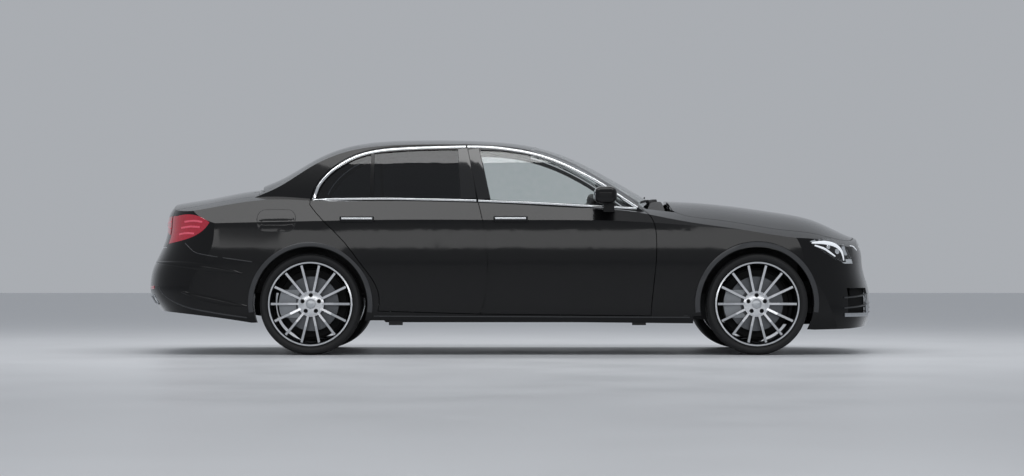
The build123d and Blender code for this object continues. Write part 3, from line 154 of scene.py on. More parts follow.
# Red acrylic lens of the tail lamps and reflectors: deep crimson under gloss, with a faint painted glow that
# the reflectors share though they are no lamps
red_acrylic = finish(
    "red_acrylic", ("#96061f", "#b30c2c"), (0.08, 0.12), 12.0,
    sockets={"Coat Weight": 0.8, "Coat Roughness": 0.02, "Emission Color": linear("#c01036"),
             "Emission Strength": 0.16},
)
# Frosted red light guide of the tail lamps: paler than the lens
red_guide = finish(
    "red_light_guide", ("#cc3f55", "#e26679"), (0.12, 0.2), 8.0,
    sockets={"Emission Color": linear("#dc4660"), "Emission Strength": 0.25, "Coat Weight": 0.6},
)
# Vaporised aluminium of the lamp projectors: mirror bright
lamp_mirror = finish("lamp_reflector", ("#cfd3d7", "#e6e8ea"), (0.08, 0.14), 3.0, metallic=1.0)
# Frosted light guide of the running lamps: milky white
light_guide = finish(
    "white_light_guide", ("#e9edf2", "#f7f9fb"), (0.2, 0.3), 4.0,
    sockets={"Emission Color": linear("#eef3fa"), "Emission Strength": 0.35},
)
# Carbon-filled tyre rubber: dusty black with a fine moulded grain
tyre_rubber = finish("tyre_rubber", ("#121213", "#1d1d1e"), (0.62, 0.8), 2.2, 0.2)
# Moulded sealing rubber: soft and dull black
seal_rubber = finish("sealing_rubber", ("#0c0c0d", "#141415"), (0.5, 0.65), 1.0, 0.05)
# Turned cast iron of the brake discs: dull grey metal
turned_iron = finish("turned_cast_iron", ("#515356", "#66686b"), (0.28, 0.42), 2.0, 0.02, 1.0)
# Cast aluminium of knuckles, carriers and arms: grey with a sandy grain
cast_aluminium = finish("cast_aluminium", ("#8b8e92", "#a8abaf"), (0.38, 0.5), 1.8, 0.15, 0.8)
# Stone-chip coating on the underbody: coarse and matt
stone_guard = finish("stone_chip_coating", ("#151516", "#222224"), (0.7, 0.85), 5.0, 0.6)
# Nappa leather: black with a pebbled grain and a soft shine
leather = finish("black_nappa_leather", ("#141313", "#211f1f"), (0.42, 0.56), 1.4, 0.3)
# Soft-touch moulded cabin trim: dark and nearly matt
cabin_skin = finish("soft_touch_trim", ("#171718", "#212123"), (0.55, 0.68), 1.2, 0.15)
# Woven headlining: pale and matt
head_cloth = finish("woven_headlining", ("#8f8d89", "#a5a39e"), (0.85, 0.95), 1.6, 0.4)
# Loop carpet of cabin, boot and hood liner: dark and tufted
carpet = finish("loop_carpet", ("#111112", "#232325"), (0.85, 0.95), 3.0, 1.2)
# Cast iron of the drive: dark and rough
engine_cast = finish("engine_casting", ("#1b1b1d", "#2c2d2f"), (0.45, 0.6), 3.5, 0.3)
# Stainless steel of the exhaust: warm grey, dulled by heat
stainless = finish("stainless_exhaust", ("#8f8d88", "#b3b1ab"), (0.25, 0.4), 4.0, 0.05, 1.0)
# Silvered glass of the door mirrors: a clean reflection
mirror_glass = finish("silvered_mirror", ("#dfe3e6", "#eef0f2"), (0.0, 0.02), 30.0, metallic=1.0)


def spoke_alloy():
    """Forged aluminium: faces turned bright, spoke flanks in dark grey lacquer, and the inner barrel and
    hollows given the same dark grey as painted shade.
    """
    made = finish("turned_alloy_dark_flanks", ("#c9cbce", "#e3e4e6"), (0.18, 0.26), 1.5, metallic=1.0)
    tree = made.node_tree
    shader = tree.nodes["Principled BSDF"]
    facing = add(tree, "ShaderNodeNewGeometry")
    parts = add(tree, "ShaderNodeSeparateXYZ", {"Vector": facing.outputs["True Normal"]})
    outward = add(tree, "ShaderNodeMath", {0: parts.outputs["Y"]}, operation="ABSOLUTE")
    # Faces that look within about 40 degrees of straight out are bright
    cut = add(
        tree, "ShaderNodeMapRange", {"Value": outward.outputs["Value"], "From Min": 0.72, "From Max": 0.8},
    )
    bright = shader.inputs["Base Color"].links[0].from_socket
    # All other faces take the dark grey: lacquer on the spoke flanks, painted shade in the barrel and hollows
    tone = add(
        tree, "ShaderNodeMix", {"Factor": cut.outputs["Result"], "A": linear("#1c1d1f"), "B": bright},
        data_type="RGBA",
    )
    tree.links.new(tone.outputs["Result"], shader.inputs["Base Color"])
    return made


alloy = spoke_alloy()


def dressed(name, look):
    """A finish on a solid that keeps its own shape."""
    made = solids[name]
    if not made.material_slots:
        made.data.materials.append(look)
    for held in made.material_slots:
        held.material = look


def placed(name, mesh, look, body):
    """A new piece from a mesh that is already in place."""
    mesh.materials.clear()
    mesh.materials.append(look)
    made = bpy.data.objects.new(name, mesh)
    bpy.context.scene.collection.objects.link(made)
    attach(made, body)
    return made


# Edges flatter than this angle are shaded as a curve
CURVE_DEGREES = 35.0


def meshed(name, points, faces):
    """A mesh from corner points and faces, with outward faces and smooth curves."""
    mesh = bpy.data.meshes.new(name)
    mesh.from_pydata([tuple(p) for p in points], [], faces)
    work = bmesh.new()
    work.from_mesh(mesh)
    bmesh.ops.remove_doubles(work, verts=work.verts, dist=1e-6)
    bmesh.ops.recalc_face_normals(work, faces=work.faces)
    for face in work.faces:
        face.smooth = True
    for edge in work.edges:
        edge.smooth = len(edge.link_faces) == 2 and edge.calc_face_angle() < math.radians(CURVE_DEGREES)
    work.to_mesh(mesh)
    work.free()
    return mesh


def fitted(name, shape, look, body):
    """A new piece from corner points and faces that are already in place."""
    return placed(name, meshed(name, *shape), look, body)


def merged(name, *meshes):
    """Several meshes as one."""
    work = bmesh.new()
    for mesh in meshes:
        work.from_mesh(mesh)
    result = bpy.data.meshes.new(name)
    work.to_mesh(result)
    work.free()
    return result


def skin(*names, side=0.0):
    """A tree to find points on the named solids, or on what they have on one side of the car."""
    points, faces = [], []
    for name in names:
        mesh = solids[name].data
        first = len(points)
        points += [v.co.copy() for v in mesh.vertices]
        faces += [[first + i for i in p.vertices] for p in mesh.polygons if p.center.y * side >= 0]
    return BVHTree.FromPolygons(points, faces)


def flowing(points, step):
    """Points at an even step along a smooth line through the given ones."""
    points = [Vector(p) for p in points]
    ends = [2 * points[0] - points[1]] + points + [2 * points[-1] - points[-2]]
    line = []
    for a, b, c, d in zip(ends, ends[1:], ends[2:], ends[3:]):
        count = max(1, round((c - b).length / step))
        for i in range(count):
            t = i / count
            line.append(0.5 * (2 * b + (c - a) * t + (2 * a - 5 * b + 4 * c - d) * t * t
                               + (3 * b - a - 3 * c + d) * t ** 3))
    return line + [points[-1]]


# How far outside its point a probing line starts, in metres
FAR = 3.0


def landed(tree, point, out):
    """Where a line from far outside meets the solid, and the face direction there."""
    start = Vector(point) + out * FAR
    spot, normal, _, _ = tree.ray_cast(start, -out)
    return (spot, normal) if spot else (None, None)


# Points across a band's crown, and the share of its height that falls off towards its edges
CROWN_POINTS = 7
CROWN_FALL = 0.85


def band(tree, path, out, width, proud, step=0.02, sink=0.003, power=4.0):
    """Corner points and faces of a strip laid on a surface along a path, crowned across its width."""
    line = flowing(path, step)
    count = len(line)
    widths = width if callable(width) else lambda t: width
    spots = []
    for i, p in enumerate(line):
        spot, normal = landed(tree, p, out)
        if spot is not None:
            spots.append((i, spot, normal))
    rings = []
    for k, (i, spot, normal) in enumerate(spots):
        before, after = spots[max(0, k - 1)][1], spots[min(len(spots) - 1, k + 1)][1]
        near = spots[max(0, k - 2):k + 3]
        up = sum((n for _, _, n in near), Vector()).normalized()
        along = (after - before).normalized()
        side = along.cross(up).normalized()
        half = widths(i / max(1, count - 1)) / 2
        ring = [spot - side * half - up * sink]
        for j in range(CROWN_POINTS):
            u = 2 * j / (CROWN_POINTS - 1) - 1
            ring.append(spot + side * half * u + up * proud * (1 - CROWN_FALL * abs(u) ** power))
        ring.append(spot + side * half - up * sink)
        rings.append(ring)
    return tube(rings)


def tube(rings, closed=False):
    """Points and faces of a skin through rings of equal length, capped at both ends or closed on itself."""
    count, size = len(rings), len(rings[0])
    points = [p for ring in rings for p in ring]
    faces = []
    for k in range(count if closed else count - 1):
        here, after = k * size, (k + 1) % count * size
        for j in range(size):
            follow = (j + 1) % size
            faces.append((here + j, here + follow, after + follow, after + j))
    if not closed:
        faces += [tuple(range(size)), tuple(range((count - 1) * size, count * size))]
    return points, faces


def swelling(slim, wide):
    """A width that is slim at both ends of a band and wide in its middle."""
    return lambda t: slim + (wide - slim) * math.sin(math.pi * t)


def patch(tree, outline, plane, out, proud, step=0.03, sink=0.003):
    """A plate that follows a surface inside a flat outline, seen along one axis."""
    work = bmesh.new()
    first, second = ["XYZ".index(c) for c in plane]
    ring = []
    for a, b in outline:
        spot = Vector((0.0, 0.0, 0.0))
        spot[first], spot[second] = a, b
        ring.append(work.verts.new(spot))
    work.faces.new(ring)
    bmesh.ops.triangulate(work, faces=work.faces)
    while True:
        long = [e for e in work.edges if e.calc_length() > step]
        if not long:
            break
        bmesh.ops.subdivide_edges(work, edges=long, cuts=1)
        bmesh.ops.triangulate(work, faces=[f for f in work.faces if len(f.verts) > 3])
    work.verts.index_update()
    depth = ({0, 1, 2} - {first, second}).pop()
    landings = [landed(tree, v.co, out) for v in work.verts]
    known = [spot for spot, _ in landings if spot is not None]
    upper, lower = [], []
    for v, (spot, normal) in zip(work.verts, landings):
        if spot is None:
            near = min(known, key=lambda k: (k[first] - v.co[first]) ** 2 + (k[second] - v.co[second]) ** 2)
            spot, normal = v.co.copy(), out
            spot[depth] = near[depth]
        if normal.dot(out) < 0:
            normal = -normal
        upper.append(spot + normal * proud)
        lower.append(spot - out * sink)
    count = len(upper)
    faces = [tuple(v.index for v in f.verts) for f in work.faces]
    faces += [tuple(count + i for i in reversed(f)) for f in faces]
    for edge in work.edges:
        if len(edge.link_faces) == 1:
            a, b = [v.index for v in edge.verts]
            faces.append((a, b, b + count, a + count))
    work.free()
    return upper + lower, faces


def rounded(x0, z0, x1, z1, radius):
    """A flat outline of a rectangle with round corners."""
    corner = 6
    points = []
    for cx, cz, start in ((x1 - radius, z1 - radius, 0), (x0 + radius, z1 - radius, 90),
                          (x0 + radius, z0 + radius, 180), (x1 - radius, z0 + radius, 270)):
        for i in range(corner + 1):
            a = math.radians(start + 90 * i / corner)
            points.append((cx + radius * math.cos(a), cz + radius * math.sin(a)))
    return points


def joined(shapes):
    """Several (points, faces) shapes as one."""
    points, faces = [], []
    for shape_points, shape_faces in shapes:
        first = len(points)
        points += shape_points
        faces += [tuple(first + i for i in f) for f in shape_faces]
    return points, faces


def turned(section, count, centre=(0, 0, 0)):
    """A lathe shape round a Y axis through the centre, from (radius, along) points of a closed section."""
    rings = []
    for i in range(count):
        a = 2 * math.pi * i / count
        rings.append([Vector(centre) + Vector((r * math.cos(a), y, r * math.sin(a))) for r, y in section])
    return tube(rings, closed=True)


def moved(shape, place):
    """Points and faces after a move or turn."""
    points, faces = shape
    return [place @ p for p in points], faces


def brick(low, high, bevel=0.002):
    """A bevelled block between two corners, which may be given in any order."""
    low, high = [Vector([pick(pair) for pair in zip(low, high)]) for pick in (min, max)]
    work = bmesh.new()
    bmesh.ops.create_cube(work, size=1.0)
    for v in work.verts:
        v.co = Vector([(low[i] + high[i]) / 2 + v.co[i] * (high[i] - low[i]) for i in range(3)])
    bmesh.ops.bevel(work, geom=work.edges[:], offset=bevel, segments=2, affect="EDGES", profile=0.6)
    points = [v.co.copy() for v in work.verts]
    work.verts.index_update()
    faces = [tuple(v.index for v in f.verts) for f in work.faces]
    work.free()
    return points, faces


def repeat_tree():
    """Nodes that repeat a piece, each copy moved and turned by one step more than the last."""
    tree = bpy.data.node_groups.new("repeated_pieces", "GeometryNodeTree")
    for name, kind in (("Geometry", "Geometry"), ("Count", "Int"), ("Step", "Vector"), ("Turn", "Vector"),
                       ("Finish", "Material")):
        tree.interface.new_socket(name, in_out="INPUT", socket_type="NodeSocket" + kind)
    tree.interface.new_socket("Geometry", in_out="OUTPUT", socket_type="NodeSocketGeometry")
    start = add(tree, "NodeGroupInput").outputs
    line = add(tree, "GeometryNodeMeshLine", {"Count": start["Count"], "Offset": start["Step"]})
    index = add(tree, "GeometryNodeInputIndex")
    angle = add(
        tree, "ShaderNodeVectorMath", {0: start["Turn"], "Scale": index.outputs["Index"]}, operation="SCALE",
    )
    spun = add(tree, "FunctionNodeEulerToRotation", {"Euler": angle.outputs["Vector"]})
    copies = add(
        tree, "GeometryNodeInstanceOnPoints",
        {"Points": line.outputs["Mesh"], "Instance": start["Geometry"], "Rotation": spun.outputs["Rotation"]},
    )
    real = add(tree, "GeometryNodeRealizeInstances", {"Geometry": copies.outputs["Instances"]})
    coat = add(
        tree, "GeometryNodeSetMaterial", {"Geometry": real.outputs["Geometry"], "Material": start["Finish"]},
    )
    add(tree, "NodeGroupOutput", {"Geometry": coat.outputs["Geometry"]})
    return tree


REPEAT = repeat_tree()


def repeated(mesh, look, **sizes):
    """The mesh that the repeating tree makes of a piece."""
    made = bpy.data.objects.new("repeat", mesh)
    bpy.context.scene.collection.objects.link(made)
    nodes = made.modifiers.new("repeat", "NODES")
    nodes.node_group = REPEAT
    sizes["Finish"] = look
    for item in REPEAT.interface.items_tree:
        if item.in_out == "INPUT" and item.name in sizes:
            nodes[item.identifier] = sizes[item.name]
    bpy.context.view_layer.update()
    graph = bpy.context.evaluated_depsgraph_get()
    result = bpy.data.meshes.new_from_object(made.evaluated_get(graph))
    made.modifiers.clear()
    bpy.data.objects.remove(made)
    return result


def around(count):
    """Sizes of the repeating tree for a ring round the Y axis."""
    return {"Count": count, "Turn": (0.0, 2 * math.pi / count, 0.0)}


# Finishes of the solids that keep their own shape, with the solids' names less their side
FINISHES = (
    (paint, "body_side front_door rear_door fender hood roof_panel boot_lid front_bumper rear_bumper"),
    (paint, "door_mirror front_handle rear_handle"),
    (laminated, "windscreen front_window"),
    (privacy, "rear_window"),
    (polycarbonate, "headlamps"),
    (red_acrylic, "tail_lamps"),
    (acrylic, "grille"),
    (polypropylene, "cowl tail_panel wheel_liners"),
    (stone_guard, "floor_pan front_frame"),
    (cabin_skin, "dashboard parcel_shelf steering_wheel"),
    (alloy, "front_rim rear_rim"),
    (turned_iron, "front_disc rear_disc"),
    (cast_aluminium, "front_knuckle rear_carrier front_suspension rear_suspension"),
    (engine_cast, "engine"),
    (stainless, "exhaust"),
    (seal_rubber, "jack_pads"),
)


def base_name(name):
    """A node's name without its side."""
    for side in SIDES:
        if name.endswith("_" + side):
            return name[:-len(side) - 1]
    return name


for solid_look, base_names in FINISHES:
    for node_name in solids:
        if base_name(node_name) in base_names.split():
            dressed(node_name, solid_look)


def wheel_body(end, side):
    """The body that a wheel's pieces ride."""
    return "wheel_" + TAG[end] + TAG[side]


def door_body(end, side):
    """The body that a door's pieces ride."""
    return "door_" + TAG[end] + TAG[side]


def wheel_centre(end, side):
    """The middle of a wheel."""
    return Vector((WHEEL_X[end], SIDES[side] * HALF_TRACK, WHEEL_Z))


# Tyre sizes in metres; the shoulder is where the tread starts to fall off
TYRE_HALF_WIDTH = 0.1225
RIM_RADIUS = 0.277
TREAD_DEPTH = 0.007
TREAD_ROOT = 0.006
TREAD_CLEARANCE = 0.0003
SHOULDER_Y = 0.080
SHOULDER_WIDTH = 0.0245
SHOULDER_DROP = 0.0065
# The tread's pitches round the tyre, and its ribs as (from, to, slant, shift), the last two in pitches
TREAD_PITCHES = 66
TREAD_RIBS = (
    (-0.1045, -0.068, -0.35, 0.0), (-0.060, -0.026, 0.3, 0.5), (-0.019, 0.019, 0.0, 0.0),
    (0.026, 0.060, -0.3, 0.5), (0.068, 0.1045, 0.35, 0.0),
)


def tyre_section():
    """Sidewalls and a tread floor below the blocks, as (radius, along) points from bead to bead."""
    w, floor = TYRE_HALF_WIDTH, WHEEL_Z - TREAD_DEPTH
    side = [
        (RIM_RADIUS - 0.012, w - 0.026), (RIM_RADIUS + 0.002, w - 0.017), (RIM_RADIUS + 0.009, w - 0.010),
        (RIM_RADIUS + 0.013, w - 0.007), (RIM_RADIUS + 0.016, w - 0.0075), (RIM_RADIUS + 0.020, w - 0.003),
        (RIM_RADIUS + 0.030, w), (RIM_RADIUS + 0.040, w - 0.003), (floor - 0.006, w - 0.0115),
        (floor, w - 0.020),
    ]
    return side + [(floor + 0.001, 0.0)] + [(r, -y) for r, y in reversed(side)]


def tread_blocks():
    """One pitch of the tread: five ribs of slanted blocks on the tread floor."""
    pitch = 2 * math.pi / TREAD_PITCHES
    shapes = []
    for low, high, slant, shift in TREAD_RIBS:
        rings = []
        for top in (False, True):
            ring = []
            for y, u in ((low, 0.06), (low, 0.94), (high, 0.94), (high, 0.06)):
                edge = max(0.0, abs(y) - SHOULDER_Y) / SHOULDER_WIDTH
                radius = WHEEL_Z - TREAD_DEPTH - TREAD_ROOT
                if top:
                    radius = WHEEL_Z - TREAD_CLEARANCE - SHOULDER_DROP * edge ** 2
                a = (u + shift + slant * (y - low) / (high - low) * 0.5) * pitch
                ring.append(Vector((radius * math.cos(a), y, radius * math.sin(a))))
            rings.append(ring)
        shapes.append(tube(rings))
    return meshed("tread_pitch", *joined(shapes))


def build_tyre(end, side):
    """A low-profile tyre with a rim guard, plain sidewalls and grooved tread."""
    carcass = meshed("carcass", *turned(tyre_section(), 96))
    blocks = repeated(tread_blocks(), tyre_rubber, **around(TREAD_PITCHES))
    mesh = merged(f"{end}_tyre_{side}_tread", carcass, blocks)
    mesh.transform(Matrix.Translation(wheel_centre(end, side)))
    made = placed(f"{end}_tyre_{side}_tread", mesh, tyre_rubber, wheel_body(end, side))
    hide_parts(f"{end}_tyre_{side}")


# Radius of the circle on which the wheel bolts stand, and their inner ends, from the wheel's middle
BOLT_CIRCLE = 0.056
BOLT_END = 0.028


def build_wheel_bolts(end, side):
    """Five bolts with wide washers in the hub's holes, near black as painted shade of the holes, and a plain
    centre cap.
    """
    out = SIDES[side]
    centre = wheel_centre(end, side)
    hub, _ = landed(skin(f"{end}_rim_{side}"), centre - BOLT_CIRCLE * UP, OUTWARD[side])
    face = abs(hub.y - centre.y)
    bolt = [(0.0, face - 0.001), (0.0065, face - 0.0015), (0.0085, face - 0.004), (0.0105, face + 0.0006),
            (0.0140, face + 0.0006), (0.0148, face - 0.0006), (0.0085, BOLT_END), (0.0, BOLT_END)]
    bolt = meshed("bolt", *turned(bolt, 20, BOLT_CIRCLE * UP))
    bolts = repeated(bolt, bolt_steel, **around(5))
    bolts.transform(Matrix.Scale(out, 4, Vector((0, 1, 0))))
    if out < 0:
        bolts.flip_normals()
    bolts.transform(Matrix.Translation(centre))
    placed(f"{end}_wheel_bolts_{side}", bolts, bolt_steel, wheel_body(end, side))
    cap = [(0.0, 0.0635), (0.020, 0.063), (0.030, 0.0605), (0.033, 0.057), (0.033, 0.050), (0.0, 0.050)]
    shape = turned([(r, out * y) for r, y in cap], 40, centre)
    fitted(f"{end}_wheel_cap_{side}", shape, satin_silver, wheel_body(end, side))


def build_brake_shield(end, side):
    """A pressed dust shield behind the brake disc, on the part that carries the wheel."""
    section = [(0.070, -0.112), (0.150, -0.114), (0.225, -0.118), (0.232, -0.104), (0.236, -0.104),
               (0.230, -0.121), (0.150, -0.117), (0.070, -0.115)]
    shape = turned([(r, SIDES[side] * y) for r, y in section], 64, wheel_centre(end, side))
    carrier = "knuckle_" + TAG[side] if end == "front" else "body"
    fitted(f"{end}_brake_shield_{side}", shape, polypropylene, carrier)


for wheel_end in WHEEL_X:
    for wheel_side in SIDES:
        build_tyre(wheel_end, wheel_side)
        build_wheel_bolts(wheel_end, wheel_side)
        build_brake_shield(wheel_end, wheel_side)


# Side trim lines as (x, z): middle of the bright window surround, and the belt strip
FRONT_SURROUND = [(-0.287, 1.383), (-0.160, 1.380), (-0.0365, 1.368), (0.1425, 1.336), (0.3215, 1.276),
                  (0.5575, 1.156), (0.7095, 1.056), (0.838, 0.971)]
REAR_SURROUND = [(-1.306, 1.026), (-1.292, 1.070), (-1.263, 1.136), (-1.175, 1.230), (-1.0285, 1.316),
                 (-0.8665, 1.356), (-0.6365, 1.373), (-0.300, 1.383)]
FRONT_BELT = [(-0.213, 1.016), (0.050, 1.006), (0.318, 0.993), (0.531, 0.981), (0.835, 0.966)]
REAR_BELT = [(-1.306, 1.026), (-0.865, 1.030), (-0.500, 1.024), (-0.226, 1.018)]


def side_path(points, side):
    """A path of (x, z) points beside the car."""
    return [Vector((x, SIDES[side], z)) for x, z in points]


def end_path(points, sign=1.0):
    """A path of (y, z) points as seen from the front or the back; the sign mirrors it."""
    return [Vector((0, sign * y, z)) for y, z in points]


def build_side_trim(side):
    """Bright surround and belt strip on each door."""
    out = OUTWARD[side]
    for end, surround, belt in (
        ("front", FRONT_SURROUND, FRONT_BELT), ("rear", REAR_SURROUND, REAR_BELT),
    ):
        tree = skin(f"{end}_door_{side}")
        body = door_body(end, side)
        shape = band(tree, side_path(surround, side), out, 0.018, 0.0035)
        fitted(f"{end}_surround_{side}", shape, chrome, body)
        shape = band(tree, side_path(belt, side), out, 0.016, 0.004)
        fitted(f"{end}_belt_{side}", shape, chrome, body)


# Middle of the gloss black pillar covers as (x, z), with their widths at foot and head
FRONT_PILLAR = ([(-0.176, 1.028), (-0.212, 1.200), (-0.247, 1.366)], 0.076, 0.070)
REAR_PILLAR = ([(-0.278, 1.032), (-0.296, 1.200), (-0.320, 1.368)], 0.104, 0.060)


def build_pillar_covers(side):
    """Gloss covers on the door frames at the middle pillar."""
    out = OUTWARD[side]
    for end, (path, foot, head) in (("front", FRONT_PILLAR), ("rear", REAR_PILLAR)):
        tree = skin(f"{end}_door_{side}")
        shape = band(
            tree, side_path(path, side), out, lambda t: foot + (head - foot) * t, 0.002, power=8.0,
        )
        fitted(f"{end}_pillar_cover_{side}", shape, acrylic, door_body(end, side))


def build_handle_caps(side):
    """A bright cap along each pull handle, a little above its middle and short of its ends."""
    height, short = 0.62, 0.012
    for end in WHEEL_X:
        low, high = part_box(f"{end}_handle_{side}")
        z = low.z + height * (high.z - low.z)
        path = side_path([(low.x + short, z), ((low.x + high.x) / 2, z), (high.x - short, z)], side)
        shape = band(skin(f"{end}_handle_{side}"), path, OUTWARD[side], 0.013, 0.002)
        fitted(f"{end}_handle_cap_{side}", shape, chrome, door_body(end, side))


# Mirror glass: its middle and half width across the car, and its heights
MIRROR_Y = 0.934
MIRROR_HALF = 0.076
MIRROR_Z = (1.012, 1.092)


def build_mirror_glass(side):
    """Silvered glass in the back of each door mirror."""
    y = SIDES[side] * MIRROR_Y
    outline = rounded(y - MIRROR_HALF, MIRROR_Z[0], y + MIRROR_HALF, MIRROR_Z[1], 0.034)
    shape = patch(skin(f"door_mirror_{side}"), outline, "YZ", -AHEAD, 0.001)
    fitted(f"mirror_glass_{side}", shape, mirror_glass, door_body("front", side))


for trim_side in SIDES:
    build_side_trim(trim_side)
    build_pillar_covers(trim_side)
    build_handle_caps(trim_side)
    build_mirror_glass(trim_side)


def build_fuel_flap():
    """A round-cornered flap on the right rear quarter, set off by a dark seam."""
    outline = rounded(-1.667, 0.812, -1.415, 0.957, 0.055)
    tree = skin("body_side_right")
    fitted("fuel_flap", patch(tree, outline, "XZ", OUTWARD["right"], 0.0008), paint, "body")
    shape = band(tree, side_path(outline + outline[:1], "right"), OUTWARD["right"], 0.005, 0.0012)
    fitted("fuel_flap_seam", shape, seal_rubber, "body")


build_fuel_flap()

# Wheel arch lips: middle radius and width of the flat flange round each opening
LIP_RADIUS = 0.3935
LIP_WIDTH = 0.031
LIP_CARRIERS = {"front": ("fender", "front_bumper"), "rear": ("body_side", "rear_bumper")}


def build_arch_lip(end, side):
    """The flat flange round a wheel arch, painted pale grey as the light it catches."""
    names = [n if n in solids else f"{n}_{side}" for n in LIP_CARRIERS[end]]
    points = []
    for i in range(45):
        a = math.radians(-8 + 196 * i / 44)
        points.append((WHEEL_X[end] + LIP_RADIUS * math.cos(a), WHEEL_Z + LIP_RADIUS * math.sin(a)))
    tree = skin(*names, side=SIDES[side])
    shape = band(tree, side_path(points, side), OUTWARD[side], LIP_WIDTH, 0.0015, power=8.0)
    fitted(f"{end}_arch_lip_{side}", shape, painted_sheen, "body")


for lip_end in WHEEL_X:
    for lip_side in SIDES:
        build_arch_lip(lip_end, lip_side)


def build_wipers():
    """Two wiper arms with blades that rest on the foot of the windscreen."""
    tree = skin("windscreen", "cowl")
    for name, path in (
        ("left", [(0.982, 0.52, 1), (0.950, 0.42, 1), (0.925, 0.20, 1), (0.918, -0.06, 1)]),
        ("right", [(0.985, -0.10, 1), (0.950, -0.20, 1), (0.915, -0.38, 1), (0.872, -0.58, 1)]),
    ):
        blade = band(tree, path, UP, 0.012, 0.012, sink=0.0, power=2.0)
        arm = band(tree, [Vector(p) + 0.012 * AHEAD for p in path[:3]], UP, 0.018, 0.016, sink=0.0)
        fitted(f"wiper_{name}", joined([blade, arm]), polypropylene, "body")


build_wipers()


def build_windscreen_border():
    """A black enamel border along both side edges of the windscreen."""
    tree = skin("windscreen")
    reach = [v.co.x for v in solids["windscreen"].data.vertices]
    out = Vector((0.5, 0, 0.87)).normalized()
    stations, width, inset, probe, tries = 14, 0.070, 0.036, 0.002, 450
    edges = {side: [] for side in SIDES}
    for i in range(1, stations):
        x = min(reach) + (max(reach) - min(reach)) * i / stations
        middle, _ = landed(tree, (x, 0, 0), UP)
        if middle is None:
            continue
        for side, across in OUTWARD.items():
            hits = [k for k in range(tries) if landed(tree, middle + across * (probe * k), out)[0]]
            edges[side].append(middle + across * (probe * max(hits) - inset))
    for side, edge in edges.items():
        shape = band(tree, edge, out, width, 0.0008, step=0.03, sink=0.001)
        fitted(f"windscreen_border_{side}", shape, glass_enamel, "body")


build_windscreen_border()


# Front lamp lines as (x, z), from the fender forward to the nose
BROW = [(1.984, 0.739), (2.073, 0.740), (2.145, 0.724), (2.186, 0.692), (2.202, 0.655), (2.208, 0.622)]
LOWER_BROW = [(2.004, 0.722), (2.068, 0.701), (2.105, 0.678), (2.146, 0.650)]
# Outline of the dark lamp bed, and the projectors as (x, z, radius)
LAMP_BED = [(1.974, 0.744), (2.140, 0.752), (2.192, 0.714), (2.226, 0.612), (2.190, 0.608), (2.050, 0.690)]
PROJECTORS = ((2.098, 0.712, 0.016), (2.160, 0.682, 0.019))
# The lamp's dark inner wing on the front face and the guide in it, as (y, z)
LAMP_WING = [(0.552, 0.690), (0.600, 0.724), (0.715, 0.738), (0.728, 0.690), (0.716, 0.640), (0.640, 0.648)]
WING_GUIDE = [(0.572, 0.692), (0.610, 0.714), (0.660, 0.722), (0.708, 0.725)]
# Tail lamp lines as (x, z)
TAIL_BARS = [
    [(-2.165, 0.878), (-2.080, 0.884), (-2.010, 0.876)],
    [(-2.195, 0.838), (-2.110, 0.846), (-2.030, 0.842)],
    [(-2.215, 0.795), (-2.150, 0.803), (-2.075, 0.800)],
]


def build_front_lamps(side):
    """A dark lamp bed with bright guides and two projector lenses on each headlamp."""
    out = OUTWARD[side]
    tree = skin("headlamps", side=SIDES[side])
    fitted(f"lamp_bed_{side}", patch(tree, LAMP_BED, "XZ", out, 0.0006), acrylic, "body")
    for name, path, slim, wide in (("brow", BROW, 0.010, 0.026), ("lower_brow", LOWER_BROW, 0.009, 0.014)):
        shape = band(tree, side_path(path, side), out, swelling(slim, wide), 0.0035, step=0.01, power=2.0)
        fitted(f"lamp_{name}_{side}", shape, light_guide, "body")
    lenses = []
    for x, z, radius in PROJECTORS:
        spot, normal = landed(tree, Vector((x, 0, z)), out)
        if spot is None:
            continue
        place = Matrix.Translation(spot) @ normal.to_track_quat("Y", "Z").to_matrix().to_4x4()
        dome = [(0.0, 0.007), (radius * 0.6, 0.005), (radius * 0.9, 0.0015), (radius, -0.004), (0.0, -0.004)]
        lenses.append(moved(turned(dome, 32), place))
    fitted(f"lamp_lenses_{side}", joined(lenses), lamp_mirror, "body")
    nose = skin("front_bumper", "headlamps", side=SIDES[side])
    shape = patch(nose, [(SIDES[side] * y, z) for y, z in LAMP_WING], "YZ", AHEAD, 0.0012)
    fitted(f"lamp_wing_{side}", shape, acrylic, "body")
    shape = band(nose, end_path(WING_GUIDE, SIDES[side]), AHEAD, 0.009, 0.0035, step=0.01, power=2.0)
    fitted(f"lamp_wing_guide_{side}", shape, light_guide, "body")


# A corner intake: its reach across the car, and the heights of its slats' inner and outer ends and insert
INTAKE_Y = (0.496, 0.788)
INTAKE_SLATS = ((0.400, 0.376), (0.332, 0.308))
INSERT_Z = 0.262
# How far slats and inserts stand behind the bumper's skin, and the height at which that skin is probed
SLAT_INSET = 0.006
INSERT_INSET = 0.004
BUMPER_PROBE_Z = 0.46
BUMPER_SWELL = 0.014
# The middle opening: its half width, and its lowest slat with the step to the next
CENTRE_HALF = 0.388
CENTRE_SLAT_Z = 0.275
CENTRE_SLAT_STEP = 0.030
# Walls of the ducts as (x, y, z) corners: of one corner intake, of both sides of the middle, and across it
CORNER_DUCT = (((2.075, 0.465, 0.255), (2.090, 0.825, 0.455)), ((2.085, 0.462, 0.255), (2.375, 0.474, 0.455)))
CENTRE_WALL = ((2.200, 0.402, 0.215), (2.385, 0.412, 0.374))
CENTRE_DUCT = (((2.190, -0.41, 0.215), (2.215, 0.41, 0.374)), ((2.200, -0.41, 0.210), (2.395, 0.41, 0.222)))


# Corners round a moulded bar, and how square its section is, from 0 for an oval to 1 for a block
BAR_SIDES = 12
BAR_SQUARENESS = 0.75


